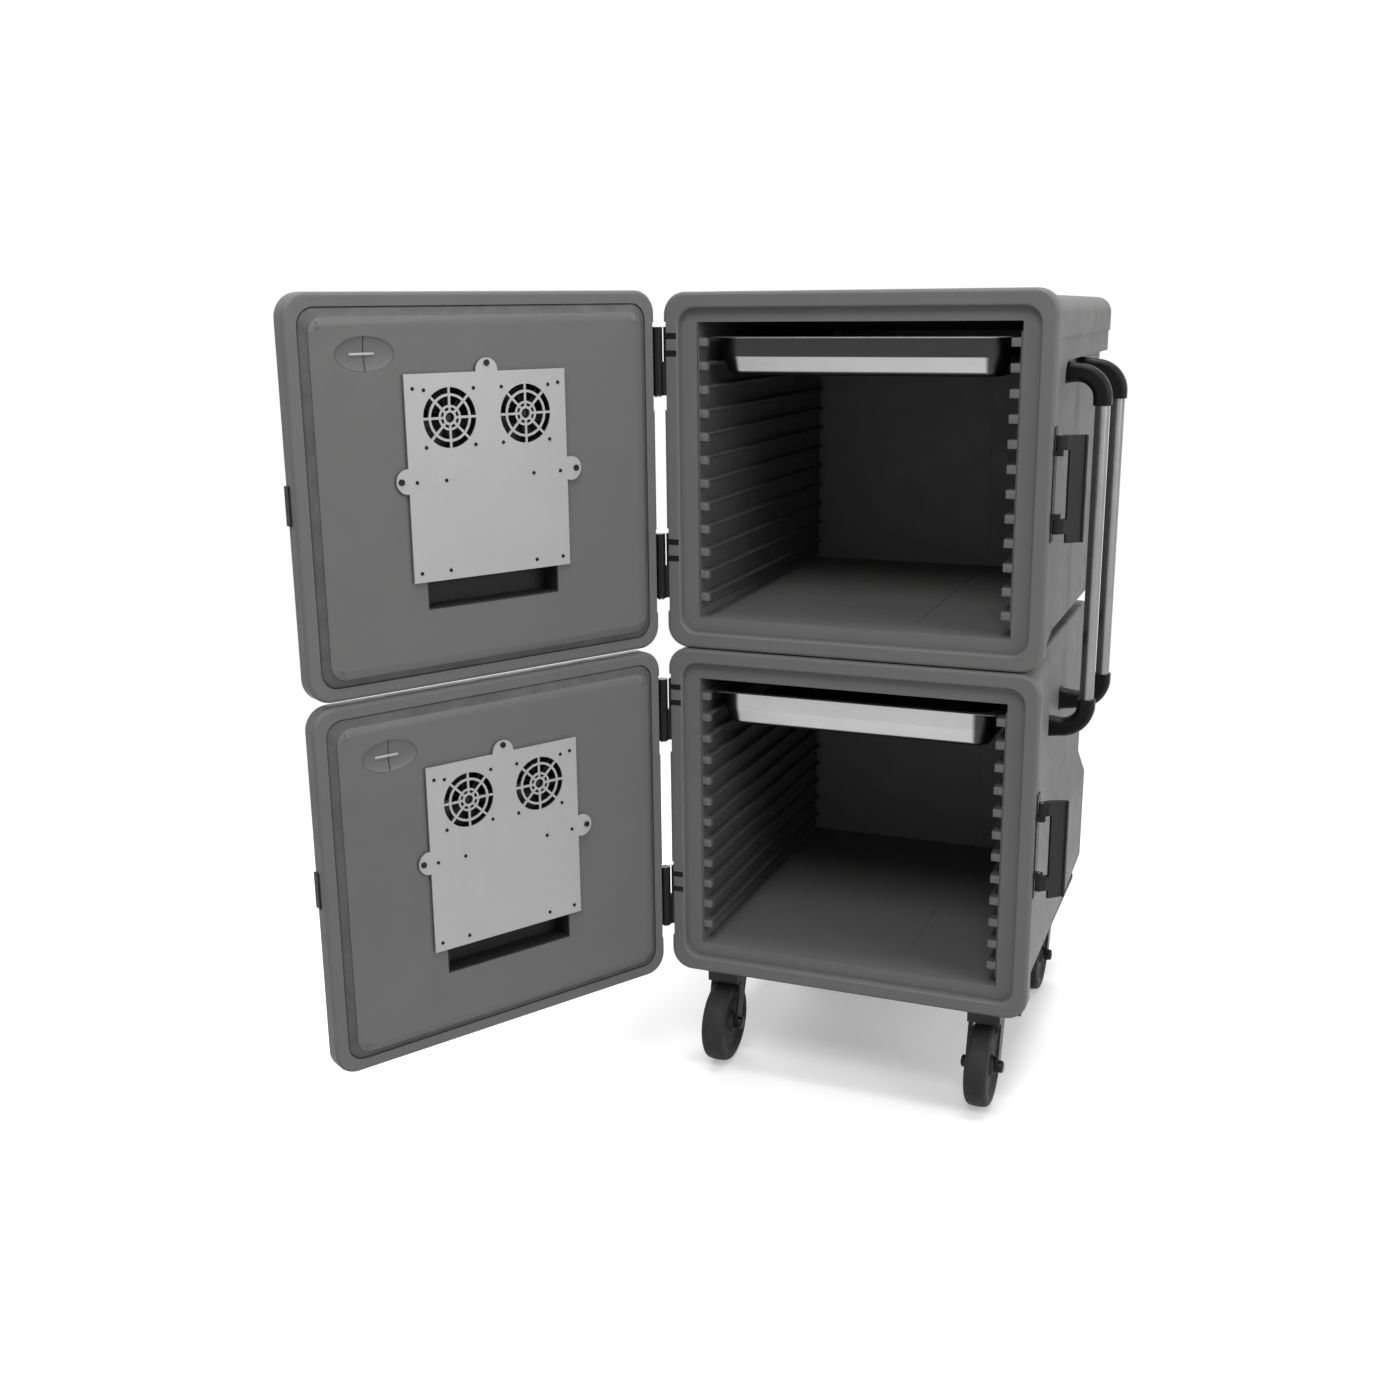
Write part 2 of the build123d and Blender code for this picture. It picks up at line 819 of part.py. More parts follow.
def heater_plate(top):
    """Perforated cover plate with three ears and a ring grille before each fan."""
    fans = fan_centres(top)
    plate_top = top - plate_drop
    face = swung(front(face_rise + plate_standoff + plate_thickness))
    with BuildPart() as cover:
        with BuildSketch(face):
            with Locations((plate_x, plate_top - plate_height / 2)):
                Rectangle(plate_width, plate_height)
            with Locations(*ear_centres(top)):
                Circle(ear_radius)
            with Locations(*ear_screws(top)):
                Circle(screw_radius + screw_fit, mode=Mode.SUBTRACT)
        extrude(amount=plate_thickness)
        with BuildSketch(face):
            with Locations(*fans):
                Circle(duct_radius)
                Circle(duct_ring, mode=Mode.SUBTRACT)
                Circle(middle_ring_outer)
                Circle(middle_ring_inner, mode=Mode.SUBTRACT)
                Circle(inner_ring_outer)
                Circle(inner_ring_inner, mode=Mode.SUBTRACT)
                with PolarLocations(0, spoke_pairs, angular_range=180):
                    Rectangle(2 * duct_radius, spoke_width, mode=Mode.SUBTRACT)
                Circle(grille_eye)
        extrude(amount=plate_thickness, mode=Mode.SUBTRACT)
        with BuildSketch(face):
            with Locations(*fans):
                with GridLocations(fan_screw_pitch, fan_screw_pitch, 2, 2):
                    Circle(small_hole)
            with Locations((plate_x, plate_top - small_rows[0])):
                with GridLocations(small_spread, 1, 2, 1):
                    Circle(small_hole)
            for drop in small_rows[1:]:
                with Locations((plate_x, plate_top - drop)):
                    with GridLocations(small_spread, 1, 2, 1):
                        Circle(small_hole)
                    with GridLocations(small_inner_spread, 1, 2, 1):
                        Circle(small_hole)
        extrude(amount=plate_thickness, mode=Mode.SUBTRACT)
    return cover


def heater_housing(top):
    """Tray let into the door, open below the plate as the return slot."""
    middle = top - (module_top + module_bottom) / 2
    width = module_width - 2 * module_fit
    length = module_bottom - module_top - 2 * module_fit
    plate_top = top - plate_drop
    with BuildPart() as housing:
        with BuildSketch(swung(front(face_rise))):
            with Locations((module_x, middle)):
                Rectangle(width, length)
        extrude(amount=module_depth - module_fit)
        with BuildSketch(swung(front(face_rise + plate_standoff))):
            with Locations((plate_x, plate_top - plate_height / 2)):
                Rectangle(plate_width - module_rim, plate_height - module_rim)
        extrude(amount=plate_standoff)
        with BuildSketch(swung(front(face_rise + plate_standoff))):
            with Locations((module_x, middle)):
                Rectangle(width - 2 * module_wall, length - 2 * module_wall)
        extrude(
            amount=plate_standoff + module_depth - module_fit - module_wall,
            mode=Mode.SUBTRACT,
        )
    return housing


def plate_screws(top):
    """Shouldered screws that hold the plate's ears off the door."""
    with BuildPart() as screws:
        with BuildSketch(swung(front(face_rise))):
            with Locations(*ear_screws(top)):
                Circle(screw_radius)
        extrude(amount=screw_length)
        with BuildSketch(swung(front(face_rise))):
            with Locations(*ear_screws(top)):
                Circle(shoulder_radius)
        extrude(amount=-plate_standoff)
        with BuildSketch(swung(front(face_rise + plate_standoff))):
            with Locations(*ear_screws(top)):
                Circle(screw_radius)
        extrude(amount=-plate_thickness)
        with BuildSketch(swung(front(face_rise + plate_standoff + plate_thickness))):
            with Locations(*ear_screws(top)):
                Circle(screw_head_radius)
        extrude(amount=-screw_head_height)
        fillet(screws.edges().group_by(door_out)[0], screw_head_round)
    return screws


def fan_frames(top):
    """Two square fan frames with struts, a motor base and a post for the rotor."""
    face_y = face_rise + plate_standoff
    with BuildPart() as frames:
        for centre in fan_centres(top):
            with BuildSketch(swung(front(face_y))):
                with Locations(centre):
                    RectangleRounded(fan_size, fan_size, fan_corner)
                    Circle(fan_bore, mode=Mode.SUBTRACT)
                    with GridLocations(fan_screw_pitch, fan_screw_pitch, 2, 2):
                        Circle(small_hole, mode=Mode.SUBTRACT)
            extrude(amount=fan_depth)
            with BuildSketch(swung(front(face_y - fan_depth + fan_strut_depth))):
                with Locations(centre):
                    Circle(fan_base_radius)
                    with PolarLocations(0, 2, start_angle=45, angular_range=180):
                        Rectangle(2 * fan_bore + fan_strut, fan_strut)
            extrude(amount=fan_strut_depth)
            with BuildSketch(swung(front(face_y - fan_depth + fan_strut_depth))):
                with Locations(centre):
                    Circle(fan_post_radius)
            extrude(amount=-fan_post_height)
    return frames


with BuildPart() as fan_blade:
    with BuildSketch(
        Plane(origin=(blade_root, 0, 0), x_dir=(0, 1, 0), z_dir=(1, 0, 0))
    ):
        Rectangle(blade_root_chord, blade_thickness, rotation=blade_root_pitch)
    with BuildSketch(
        Plane(origin=(blade_tip, 0, 0), x_dir=(0, 1, 0), z_dir=(1, 0, 0))
    ):
        Rectangle(blade_tip_chord, blade_thickness, rotation=blade_tip_pitch)
    loft()


def fan_rotor(centre):
    """Hub cup with twisted blades; the fan's axis is square to the door."""
    base_y = face_rise + plate_standoff - fan_depth + fan_strut_depth + rotor_gap
    seat = swung(front(base_y))
    hub = Plane(
        origin=seat.from_local_coords((centre[0], centre[1], 0)),
        x_dir=seat.x_dir,
        z_dir=-seat.z_dir,
    )
    with BuildPart() as rotor:
        with BuildSketch(hub):
            Circle(rotor_hub_radius)
        extrude(amount=rotor_hub_height)
        fillet(rotor.edges().group_by(door_out)[0], rotor_hub_round)
        with Locations(hub.offset(rotor_hub_height / 2)):
            with PolarLocations(0, blade_count):
                add(fan_blade.part)
        with BuildSketch(hub):
            Circle(fan_post_radius + rotor_fit)
        extrude(amount=fan_post_height, mode=Mode.SUBTRACT)
    return rotor


def hinge_leaves(hinge_z, on_door):
    """Leaf, web and half barrel of each hinge, for the box or mirrored for the door."""
    turn = swung if on_door else (lambda plane: plane)
    flip = -1 if on_door else 1
    floor_x = pocket_depth - flange_side
    near_x = floor_x - pocket_depth + leaf_gap
    near = leaf_gap + face_gap + pin_y if on_door else leaf_gap - pin_y
    far = near + leaf_depth
    near = max(near, leaf_start)
    with BuildPart() as leaves:
        for centre in hinge_z:
            foot = centre - leaf_height / 2
            start = centre + hinge_split if on_door else foot
            with BuildSketch(turn(level(foot))):
                with BuildLine():
                    Polyline(
                        (near_x, pin_y + flip * near),
                        (floor_x, pin_y + flip * near),
                        (floor_x, pin_y + flip * far),
                        (near_x, pin_y + flip * far),
                        close=True,
                    )
                make_face()
            extrude(amount=leaf_height)
            with BuildSketch(turn(level(start))):
                with Locations((pin_x, pin_y)):
                    Circle(barrel_radius)
                with BuildLine():
                    Polyline(
                        (pin_x, pin_y + flip * web_start),
                        (pin_x + barrel_radius - web_round, pin_y + flip * web_start),
                        (floor_x - leaf_gap, pin_y + flip * barrel_radius),
                        (floor_x - leaf_gap, pin_y + flip * (barrel_radius + web_width)),
                        (near_x, pin_y + flip * (barrel_radius + web_width)),
                        (pin_x, pin_y + flip * barrel_radius),
                        close=True,
                    )
                make_face()
            extrude(amount=leaf_height / 2 - hinge_split)
            with BuildSketch(turn(level(start))):
                with Locations((pin_x, pin_y)):
                    Circle(pin_radius + pin_fit)
            extrude(amount=bore_rise(on_door), mode=Mode.SUBTRACT)
            if not on_door:
                with BuildSketch(front(leaf_gap)):
                    for rise in (prong_low, prong_high):
                        with Locations((floor_x + prong_length / 2 - leaf_gap, centre + rise)):
                            Rectangle(prong_length + leaf_gap, prong_height)
                extrude(amount=leaf_gap - prong_thickness)
    return leaves


def bore_rise(on_door):
    """Bore height: through the lower barrel, and blind in the upper one."""
    if on_door:
        return pin_length - leaf_height / 2 + hinge_split
    return leaf_height / 2


def hinge_pins(hinge_z):
    with BuildPart() as pins:
        for centre in hinge_z:
            with BuildSketch(level(centre - leaf_height / 2)):
                with Locations((pin_x, pin_y)):
                    Circle(pin_radius)
            extrude(amount=pin_length)
            with BuildSketch(level(centre - leaf_height / 2)):
                with Locations((pin_x, pin_y)):
                    Circle(pin_head_radius)
            extrude(amount=-pin_head_height)
    return pins


def keeper(latch_z):
    """Strike strip on the door's free edge that the latch hooks in front of."""
    with BuildPart() as strike:
        with BuildSketch(swung(side(flange_side - keeper_pocket))):
            with Locations((keeper_y, latch_z)):
                Rectangle(keeper_width, keeper_height)
        extrude(amount=keeper_x - flange_side + keeper_pocket)
    return strike


doors = (
    ("lower", lower_door_base, lower_door_height, lower_base, lower_height, lower_latch_z),
    ("upper", upper_door_base, upper_door_height, upper_base, upper_height, upper_latch_z),
)
for name, door_base, door_height, box_base, box_height, latch_z in doors:
    door_top = door_base + door_height
    hinge_z = hinge_heights(box_base, box_height)
    write(door_shell(door_base, door_height, hinge_z, latch_z), f"{name}_door_shell")
    write(gasket(door_base, door_height), f"{name}_door_gasket")
    write(vent(door_top), f"{name}_door_vent")
    write(heater_housing(door_top), f"{name}_heater_housing")
    write(heater_plate(door_top), f"{name}_heater_plate")
    write(plate_screws(door_top), f"{name}_plate_screws")
    write(fan_frames(door_top), f"{name}_fan_frames")
    for number, centre in enumerate(fan_centres(door_top), 1):
        write(fan_rotor(centre), f"{name}_fan_rotor_{number}")
    write(hinge_leaves(hinge_z, True), f"{name}_hinge_door_leaves")
    write(hinge_leaves(hinge_z, False), f"{name}_hinge_box_leaves")
    write(hinge_pins(hinge_z), f"{name}_hinge_pins")
    write(keeper(latch_z), f"{name}_latch_keeper")


# Latches
def lug_heights(latch_z):
    """Foot heights of the two lugs, just inside the two arms."""
    return (
        latch_z + latch_arm_top - latch_arm_height - latch_lug_gap - latch_lug_height,
        latch_z - latch_arm_low + latch_lug_gap,
    )


def arm_heights(latch_z):
    """Foot heights of the two arms of a lever."""
    return (
        latch_z + latch_arm_top - latch_arm_height,
        latch_z - latch_arm_low - latch_arm_height,
    )


def latch_base(latch_z):
    with BuildPart() as base:
        with BuildSketch(side(flange_side - latch_pocket)):
            with Locations((latch_base_front + latch_base_depth / 2, latch_z)):
                Rectangle(latch_base_depth, latch_base_height)
        extrude(amount=latch_base_thickness)
        for foot in lug_heights(latch_z):
            with BuildSketch(level(foot)):
                with Locations((latch_x, latch_y)):
                    Circle(latch_boss)
                with Locations(((latch_x + latch_face_x - latch_lug_sink) / 2, latch_y)):
                    Rectangle(latch_x - latch_face_x + latch_lug_sink, 2 * latch_boss)
                with Locations((latch_x, latch_y)):
                    Circle(latch_pin_radius + latch_pin_fit, mode=Mode.SUBTRACT)
            extrude(amount=latch_lug_height)
    return base


def lever_plane(height):
    """Level plane at the pivot with its first direction along the lever."""
    return level(height) * Location((latch_x, latch_y, 0), (0, 0, latch_angle))


def latch_lever(latch_z):
    """Grip plate on two gusseted arms, open between them, with a bead that hooks the keeper."""
    plate_foot = latch_z - latch_plate_drop
    with BuildPart() as lever:
        with BuildSketch(lever_plane(plate_foot)):
            with BuildLine():
                Polyline(
                    (latch_inner, -latch_face),
                    (latch_reach - latch_bead_width, -latch_face),
                    (latch_reach - latch_bead_width, -latch_face - latch_bead),
                    (latch_reach, -latch_face - latch_bead),
                    (latch_reach, latch_back),
                    (latch_inner, latch_back),
                    close=True,
                )
            make_face()
        extrude(amount=latch_plate_drop + latch_arm_top)
        for foot in arm_heights(latch_z):
            with BuildSketch(lever_plane(foot)):
                Circle(latch_boss)
                with BuildLine():
                    Polyline(
                        (0, -latch_face),
                        (latch_reach - latch_bead_width, -latch_face),
                        (latch_reach - latch_bead_width, latch_back),
                        (latch_gusset_at, latch_gusset),
                        (0, latch_boss),
                        close=True,
                    )
                make_face()
                Circle(latch_pin_radius + latch_pin_fit, mode=Mode.SUBTRACT)
            extrude(amount=latch_arm_height)
    return lever


with BuildPart() as latch_pins:
    for latch_z in (lower_latch_z, upper_latch_z):
        lug_top, lug_low = lug_heights(latch_z)
        pin_rise = latch_lug_height + latch_lug_gap + latch_arm_height
        for foot in (lug_top, lug_low - latch_lug_gap - latch_arm_height):
            with BuildSketch(level(foot)):
                with Locations((latch_x, latch_y)):
                    Circle(latch_pin_radius)
            extrude(amount=pin_rise)
write(latch_pins, "latch_pins")

for name, latch_z in (("lower", lower_latch_z), ("upper", upper_latch_z)):
    write(latch_base(latch_z), f"{name}_latch_base")
    write(latch_lever(latch_z), f"{name}_latch_lever")


# Push handles: two upright tubes, each between an elbow on either box
upper_elbow_z = upper_base + upper_height - elbow_upper_drop
lower_elbow_z = lower_base + elbow_lower_rise
elbow_drop = elbow_bend + elbow_skirt


def elbow(handle_y, root_z, turn):
    """Elbow from its pad on the recess floor; turn is -1 down and 1 up."""
    straight = handle_x - elbow_bend - recess_floor
    with BuildPart() as bend:
        with BuildSketch(side(recess_floor)):
            with Locations((handle_y, root_z)):
                RectangleRounded(elbow_pad_width, elbow_pad_height, elbow_pad_corner)
        extrude(amount=elbow_pad_thickness)
        with BuildSketch(side(recess_floor)):
            with Locations((handle_y, root_z)):
                RectangleRounded(2 * elbow_half, elbow_root_height, elbow_corner)
        with BuildSketch(side(recess_floor + straight)):
            with Locations((handle_y, root_z)):
                RectangleRounded(2 * elbow_half, 2 * elbow_half, elbow_corner)
        loft()
        with BuildLine(front(handle_y)) as path:
            bend_end = (handle_x, root_z + turn * elbow_bend)
            RadiusArc((recess_floor + straight, root_z), bend_end, -turn * elbow_bend)
            Line(bend_end, (handle_x, root_z + turn * elbow_drop))
        with BuildSketch(side(recess_floor + straight)):
            with Locations((handle_y, root_z)):
                RectangleRounded(2 * elbow_half, 2 * elbow_half, elbow_corner)
        sweep(path=path.line)
        with BuildSketch(level(root_z + turn * elbow_drop)):
            with Locations((handle_x, handle_y)):
                Circle(tube_radius + tube_fit)
        extrude(amount=-turn * elbow_skirt, mode=Mode.SUBTRACT)
    return bend


def handle_tube(handle_y):
    foot = lower_elbow_z + elbow_bend + tube_end_gap
    head = upper_elbow_z - elbow_bend - tube_end_gap
    with BuildPart() as tube:
        with BuildSketch(level(foot)):
            with Locations((handle_x, handle_y)):
                Circle(tube_radius)
                Circle(tube_radius - tube_wall, mode=Mode.SUBTRACT)
        extrude(amount=head - foot)
    return tube


for name, handle_y in (("front", handle_front_y), ("rear", handle_rear_y)):
    write(elbow(handle_y, upper_elbow_z, -1), f"{name}_handle_upper_elbow")
    write(elbow(handle_y, lower_elbow_z, 1), f"{name}_handle_lower_elbow")
    write(handle_tube(handle_y), f"{name}_handle_tube")


# Base plate
with BuildPart() as base_plate:
    with BuildSketch(level(lower_base)):
        with Locations((0, base_front + base_length / 2)):
            RectangleRounded(base_width, base_length, base_corner)
    extrude(amount=base_thickness)
write(base_plate, "base_plate")

# Casters, each swivelled so that its wheel trails towards the front
caster_spots = (
    ("front_left", -caster_x, caster_front_y),
    ("front_right", caster_x, caster_front_y),
    ("rear_left", -caster_x, caster_rear_y),
    ("rear_right", caster_x, caster_rear_y),
)
race_foot = lower_base - top_plate_thickness - race_height
crown_top = race_foot - swivel_gap
fork_half = wheel_width / 2 + fork_gap + fork_wall

with BuildPart() as caster_plates:
    for _, spot_x, spot_y in caster_spots:
        with BuildSketch(level(lower_base - top_plate_thickness)):
            with Locations((spot_x, spot_y)):
                RectangleRounded(top_plate_width, top_plate_length, top_plate_corner)
        extrude(amount=top_plate_thickness)
        with BuildSketch(level(race_foot)):
            with Locations((spot_x, spot_y)):
                Circle(race_radius)
        extrude(amount=race_height)
        with BuildSketch(level(race_foot)):
            with Locations((spot_x, spot_y)):
                Circle(stem_radius + stem_fit)
        extrude(amount=race_height + top_plate_thickness, mode=Mode.SUBTRACT)
write(caster_plates, "caster_plates")


def fork(spot_x, spot_y):
    """Crown, king pin and two legs that lean forward to the axle."""
    with BuildPart() as yoke:
        with BuildSketch(side(spot_x - fork_half)) as profile:
            with Locations((spot_y - caster_trail, wheel_radius)):
                Circle(fork_foot)
            with Locations((spot_y, crown_top - crown_height / 2)):
                Rectangle(2 * crown_radius, crown_height)
            make_hull()
        extrude(amount=2 * fork_half)
        with BuildSketch(level(crown_top - crown_height)):
            with Locations((spot_x, spot_y)):
                Rectangle(2 * (fork_half - fork_wall), 4 * wheel_radius)
        extrude(amount=-2 * wheel_radius, mode=Mode.SUBTRACT)
        with BuildSketch(level(crown_top)):
            with Locations((spot_x, spot_y)):
                Circle(stem_radius)
        extrude(amount=race_height + top_plate_thickness - stem_gap)
        with BuildSketch(side(spot_x - fork_half)):
            with Locations((spot_y - caster_trail, wheel_radius)):
                Circle(axle_radius + fork_fit)
        extrude(amount=2 * fork_half, mode=Mode.SUBTRACT)
    return yoke


def wheel(spot_x, spot_y):
    """Wheel turned from its half section, with a dished web and a proud hub."""
    axle = Axis((mid_x + spot_x, front_y + spot_y - caster_trail, wheel_radius), (1, 0, 0))
    hub_half = wheel_width / 2 + fork_gap - 2 * swivel_gap
    with BuildPart() as roller:
        with BuildSketch(
            Plane(origin=axle.position, x_dir=(1, 0, 0), z_dir=(0, -1, 0))
        ) as section:
            with BuildLine():
                Polyline(
                    (-wheel_width / 2, wheel_radius),
                    (wheel_width / 2, wheel_radius),
                    (wheel_width / 2, wheel_dish_radius),
                    (wheel_width / 2 - wheel_dish, wheel_dish_radius - wheel_dish),
                    (wheel_width / 2 - wheel_dish, wheel_hub_radius),
                    (hub_half, wheel_hub_radius - wheel_dish / 2),
                    (hub_half, axle_radius + axle_fit),
                    (-hub_half, axle_radius + axle_fit),
                    (-hub_half, wheel_hub_radius - wheel_dish / 2),
                    (wheel_dish - wheel_width / 2, wheel_hub_radius),
                    (wheel_dish - wheel_width / 2, wheel_dish_radius - wheel_dish),
                    (-wheel_width / 2, wheel_dish_radius),
                    close=True,
                )
            make_face()
            fillet(section.vertices().group_by(Axis.Y)[-1], wheel_round)
        revolve(axis=axle)
    return roller


def caster_axle(spot_x, spot_y):
    """Axle with a round head outside each leg of the fork."""
    with BuildPart() as axle:
        with BuildSketch(side(spot_x - fork_half)):
            with Locations((spot_y - caster_trail, wheel_radius)):
                Circle(axle_radius)
        extrude(amount=2 * fork_half)
        for reach, amount in ((fork_half, axle_head), (-fork_half, -axle_head)):
            with BuildSketch(side(spot_x + reach)):
                with Locations((spot_y - caster_trail, wheel_radius)):
                    Circle(axle_head_radius)
            extrude(amount=amount)
        fillet(axle.edges().group_by(Axis.X)[0], axle_head_round)
        fillet(axle.edges().group_by(Axis.X)[-1], axle_head_round)
    return axle


for name, spot_x, spot_y in caster_spots:
    write(fork(spot_x, spot_y), f"{name}_caster_fork")
    write(wheel(spot_x, spot_y), f"{name}_caster_wheel")
    write(caster_axle(spot_x, spot_y), f"{name}_caster_axle")
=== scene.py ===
import json
import math

import bmesh
import bpy
from bpy.props import FloatProperty, FloatVectorProperty, IntProperty, PointerProperty
from mathutils import Matrix, Vector

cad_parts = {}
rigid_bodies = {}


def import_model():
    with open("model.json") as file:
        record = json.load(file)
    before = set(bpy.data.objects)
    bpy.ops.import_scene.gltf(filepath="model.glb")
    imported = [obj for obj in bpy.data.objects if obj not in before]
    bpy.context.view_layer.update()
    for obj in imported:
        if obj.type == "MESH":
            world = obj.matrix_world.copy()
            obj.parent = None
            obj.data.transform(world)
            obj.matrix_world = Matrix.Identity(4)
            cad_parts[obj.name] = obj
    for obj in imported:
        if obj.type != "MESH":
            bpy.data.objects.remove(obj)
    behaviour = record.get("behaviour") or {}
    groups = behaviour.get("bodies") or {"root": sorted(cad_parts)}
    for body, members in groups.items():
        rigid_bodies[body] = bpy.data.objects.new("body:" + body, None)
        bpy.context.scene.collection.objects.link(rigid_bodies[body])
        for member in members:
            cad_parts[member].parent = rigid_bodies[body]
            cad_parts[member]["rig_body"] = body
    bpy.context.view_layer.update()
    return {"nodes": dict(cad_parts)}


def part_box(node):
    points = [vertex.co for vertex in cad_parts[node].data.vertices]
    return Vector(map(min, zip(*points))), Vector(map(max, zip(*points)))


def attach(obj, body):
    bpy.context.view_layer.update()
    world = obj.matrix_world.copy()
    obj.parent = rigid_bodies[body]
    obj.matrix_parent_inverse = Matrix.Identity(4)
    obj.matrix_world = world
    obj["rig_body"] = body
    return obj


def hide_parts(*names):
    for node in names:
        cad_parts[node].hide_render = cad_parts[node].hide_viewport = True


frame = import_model()

bl_info = {
    "name": "Insulated Food Transport Cart",
    "version": (1, 0, 0),
    "blender": (4, 5, 0),
    "location": "3D View > Sidebar > Food Cart",
    "description": "Dresses the packed cart with moulded, formed and turned pieces",
    "category": "Object",
}

BOXES = ("lower", "upper")
SPOTS = ("front_left", "front_right", "rear_left", "rear_right")

# Places repeated from the part's source, in the shared frame's metres
MIDDLE_X = 0.157091
FRONT_Y = -0.085774
BOX_BASE = {"lower": 0.198, "upper": 0.820}
DOOR_BASE = {"lower": 0.197, "upper": 0.823}
DOOR_TOP = {"lower": 0.816, "upper": 1.437}
FLANGE_SIDE = 0.333
PIN_X = MIDDLE_X - 0.341
PIN_Y = FRONT_Y - 0.007
DOOR_OPENING = math.radians(120)

# Places in the cart's own millimetres, as point() takes them, with heights over a box's base
LEDGES = 12
LEDGE_PITCH = 40
LEDGE_TOP = 538
PAN_MIDDLE = 349
PAN_TOP = 539.4

# The same on a door, with drops from the door's top or from the cover plate's
COVER_DROP = 121.5
COVER_MIDDLE = 9.75
FAN_DROP = 68.2
FAN_PLACES = {1: 78.4, 2: -58.9}
VENT_PLACE = 213
VENT_DROP = 90

# Vertex attribute that marks where a pan's wall gets painted shade
PAINTED_SHADE_BAND = "painted_shade_band"

# Edges that bend less than SMOOTH_BEND degrees are shaded smooth, and those of nodes that bend
# more than SHARP_BEND are bevelled. On crisp pieces a bend of more than CRISP_BEND between two
# faces of at least CRISP_AREA square metres keeps its line.
SMOOTH_BEND = 40
SHARP_BEND = math.radians(44)
CRISP_BEND = math.radians(12)
CRISP_AREA = 0.002
FLAT_BEND = math.radians(0.6)
WELD = 1e-6


def tone(level, warmth=0.0):
    """Linear grey for a display level from 0 to 255, a little warmer or cooler."""
    values = []
    for shift in (warmth, 0.0, -warmth):
        value = (level + shift) / 255
        values.append(value / 12.92 if value <= 0.04045 else ((value + 0.055) / 1.055) ** 2.4)
    return tuple(values)


def colour(name, description, default):
    return FloatVectorProperty(
        name=name, description=description, default=default, subtype="COLOR", min=0, max=1
    )


def length(name, description, default, low=0.0, high=1.0):
    return FloatProperty(
        name=name,
        description=description,
        default=default,
        min=low,
        max=high,
        subtype="DISTANCE",
        unit="LENGTH",
    )


class CartFinishes(bpy.types.PropertyGroup):
    shell: colour("Shell", "Moulded polyethylene of the boxes and doors", tone(110, 0.5))
    # Ledge panels: the shell's grey made darker, painted shade in the cavities
    lining_painted_shade: colour("Ledges", "Moulded ledge panels in the cavities", tone(88, 0.5))
    plastic: colour("Black plastic", "Elbows, hinges and latch parts", tone(15))
    grip: colour("Latch grips", "Charcoal grip plates of the latches", tone(36))
    gasket: colour("Gasket", "Rubber seal round each door", tone(98))
    plate: colour("Heater plate", "Satin sheet of the heater covers", tone(176))
    housing: colour("Heater tray", "Coated steel tray behind each cover", tone(46))
    fan: colour("Fans", "Fan frames and rotors", tone(28))
    pan: colour("Pans", "Stainless steel of the food pans", tone(172))
    tube: colour("Tubes", "Aluminium of the push handles", tone(144))
    caster: colour("Caster steel", "Powder coated forks and plates", tone(24))
    tread: colour("Tread", "Rubber of the wheels", tone(44))
    zinc: colour("Zinc", "Bright plated rings, pins and axles", tone(190))
    screw: colour("Screws", "Blackened screws", tone(20))


class CartSizes(bpy.types.PropertyGroup):
    shell_round: length("Shell edge", "Softening of the shells' edges", 0.0018)
    fitting_round: length("Fitting edge", "Softening of the moulded fittings' edges", 0.0007)
    sheet_round: length("Sheet edge", "Broken edge of punched sheet", 0.0003)
    pan_wall: length("Pan sheet", "Thickness of the pans' steel", 0.0011)
    pan_shoulder: length("Pan shoulder", "Depth of the pans' upright upper wall", 0.033)
    pan_bottom_round: length("Pan bottom round", "Round between a pan's bottom and wall", 0.011)
    pan_crease: length("Pan crease", "Round between a pan's wall and its shoulder", 0.006)
    pan_rim_round: length("Pan rim round", "Round between a pan's wall and its rim", 0.003)
    pan_rim_corner: length("Pan rim corner", "Corner radius of a pan's rim", 0.020)
    screw_radius: length("Small screw", "Radius of the small screw heads", 0.0033)
    bolt_radius: length("Caster bolt", "Radius of the caster plates' bolt heads", 0.0055)
    tread_crown: length("Tread crown", "Rise of the wheel tread's middle", 0.0012)
    blades: IntProperty(name="Blades", description="Blades of each fan", default=7, min=3, max=13)


class CartView(bpy.types.PropertyGroup):
    place: FloatVectorProperty(
        name="Camera place",
        description="Where the camera stands",
        default=(0.881691, -2.563574, 1.4173),
        subtype="XYZ",
        unit="LENGTH",
    )
    heading: FloatProperty(
        name="Heading", description="Turn to the left", default=0.3822, subtype="ANGLE"
    )
    pitch: FloatProperty(
        name="Pitch", description="Tilt up", default=-0.2536, subtype="ANGLE"
    )
    roll: FloatProperty(
        name="Roll", description="Turn about the view", default=-0.0099, subtype="ANGLE"
    )
    focal: FloatProperty(
        name="Focal length", description="On a 36 mm wide frame", default=39.518, unit="CAMERA"
    )


# Materials
STREAK_TINT = 1.35
SCUFF_TINT = 1.5
SCUFF_SCALE = 38.0


def linked(tree, *pairs):
    for source, target in pairs:
        tree.links.new(source, target)


def noise(tree, coords, scale, detail=3.0, roughness=0.55, stretch=None):
    node = tree.nodes.new("ShaderNodeTexNoise")
    node.inputs["Scale"].default_value = scale
    node.inputs["Detail"].default_value = detail
    node.inputs["Roughness"].default_value = roughness
    if stretch:
        mapping = tree.nodes.new("ShaderNodeMapping")
        mapping.inputs["Scale"].default_value = stretch
        linked(tree, (coords, mapping.inputs["Vector"]))
        coords = mapping.outputs["Vector"]
    linked(tree, (coords, node.inputs["Vector"]))
    return node.outputs["Fac"]


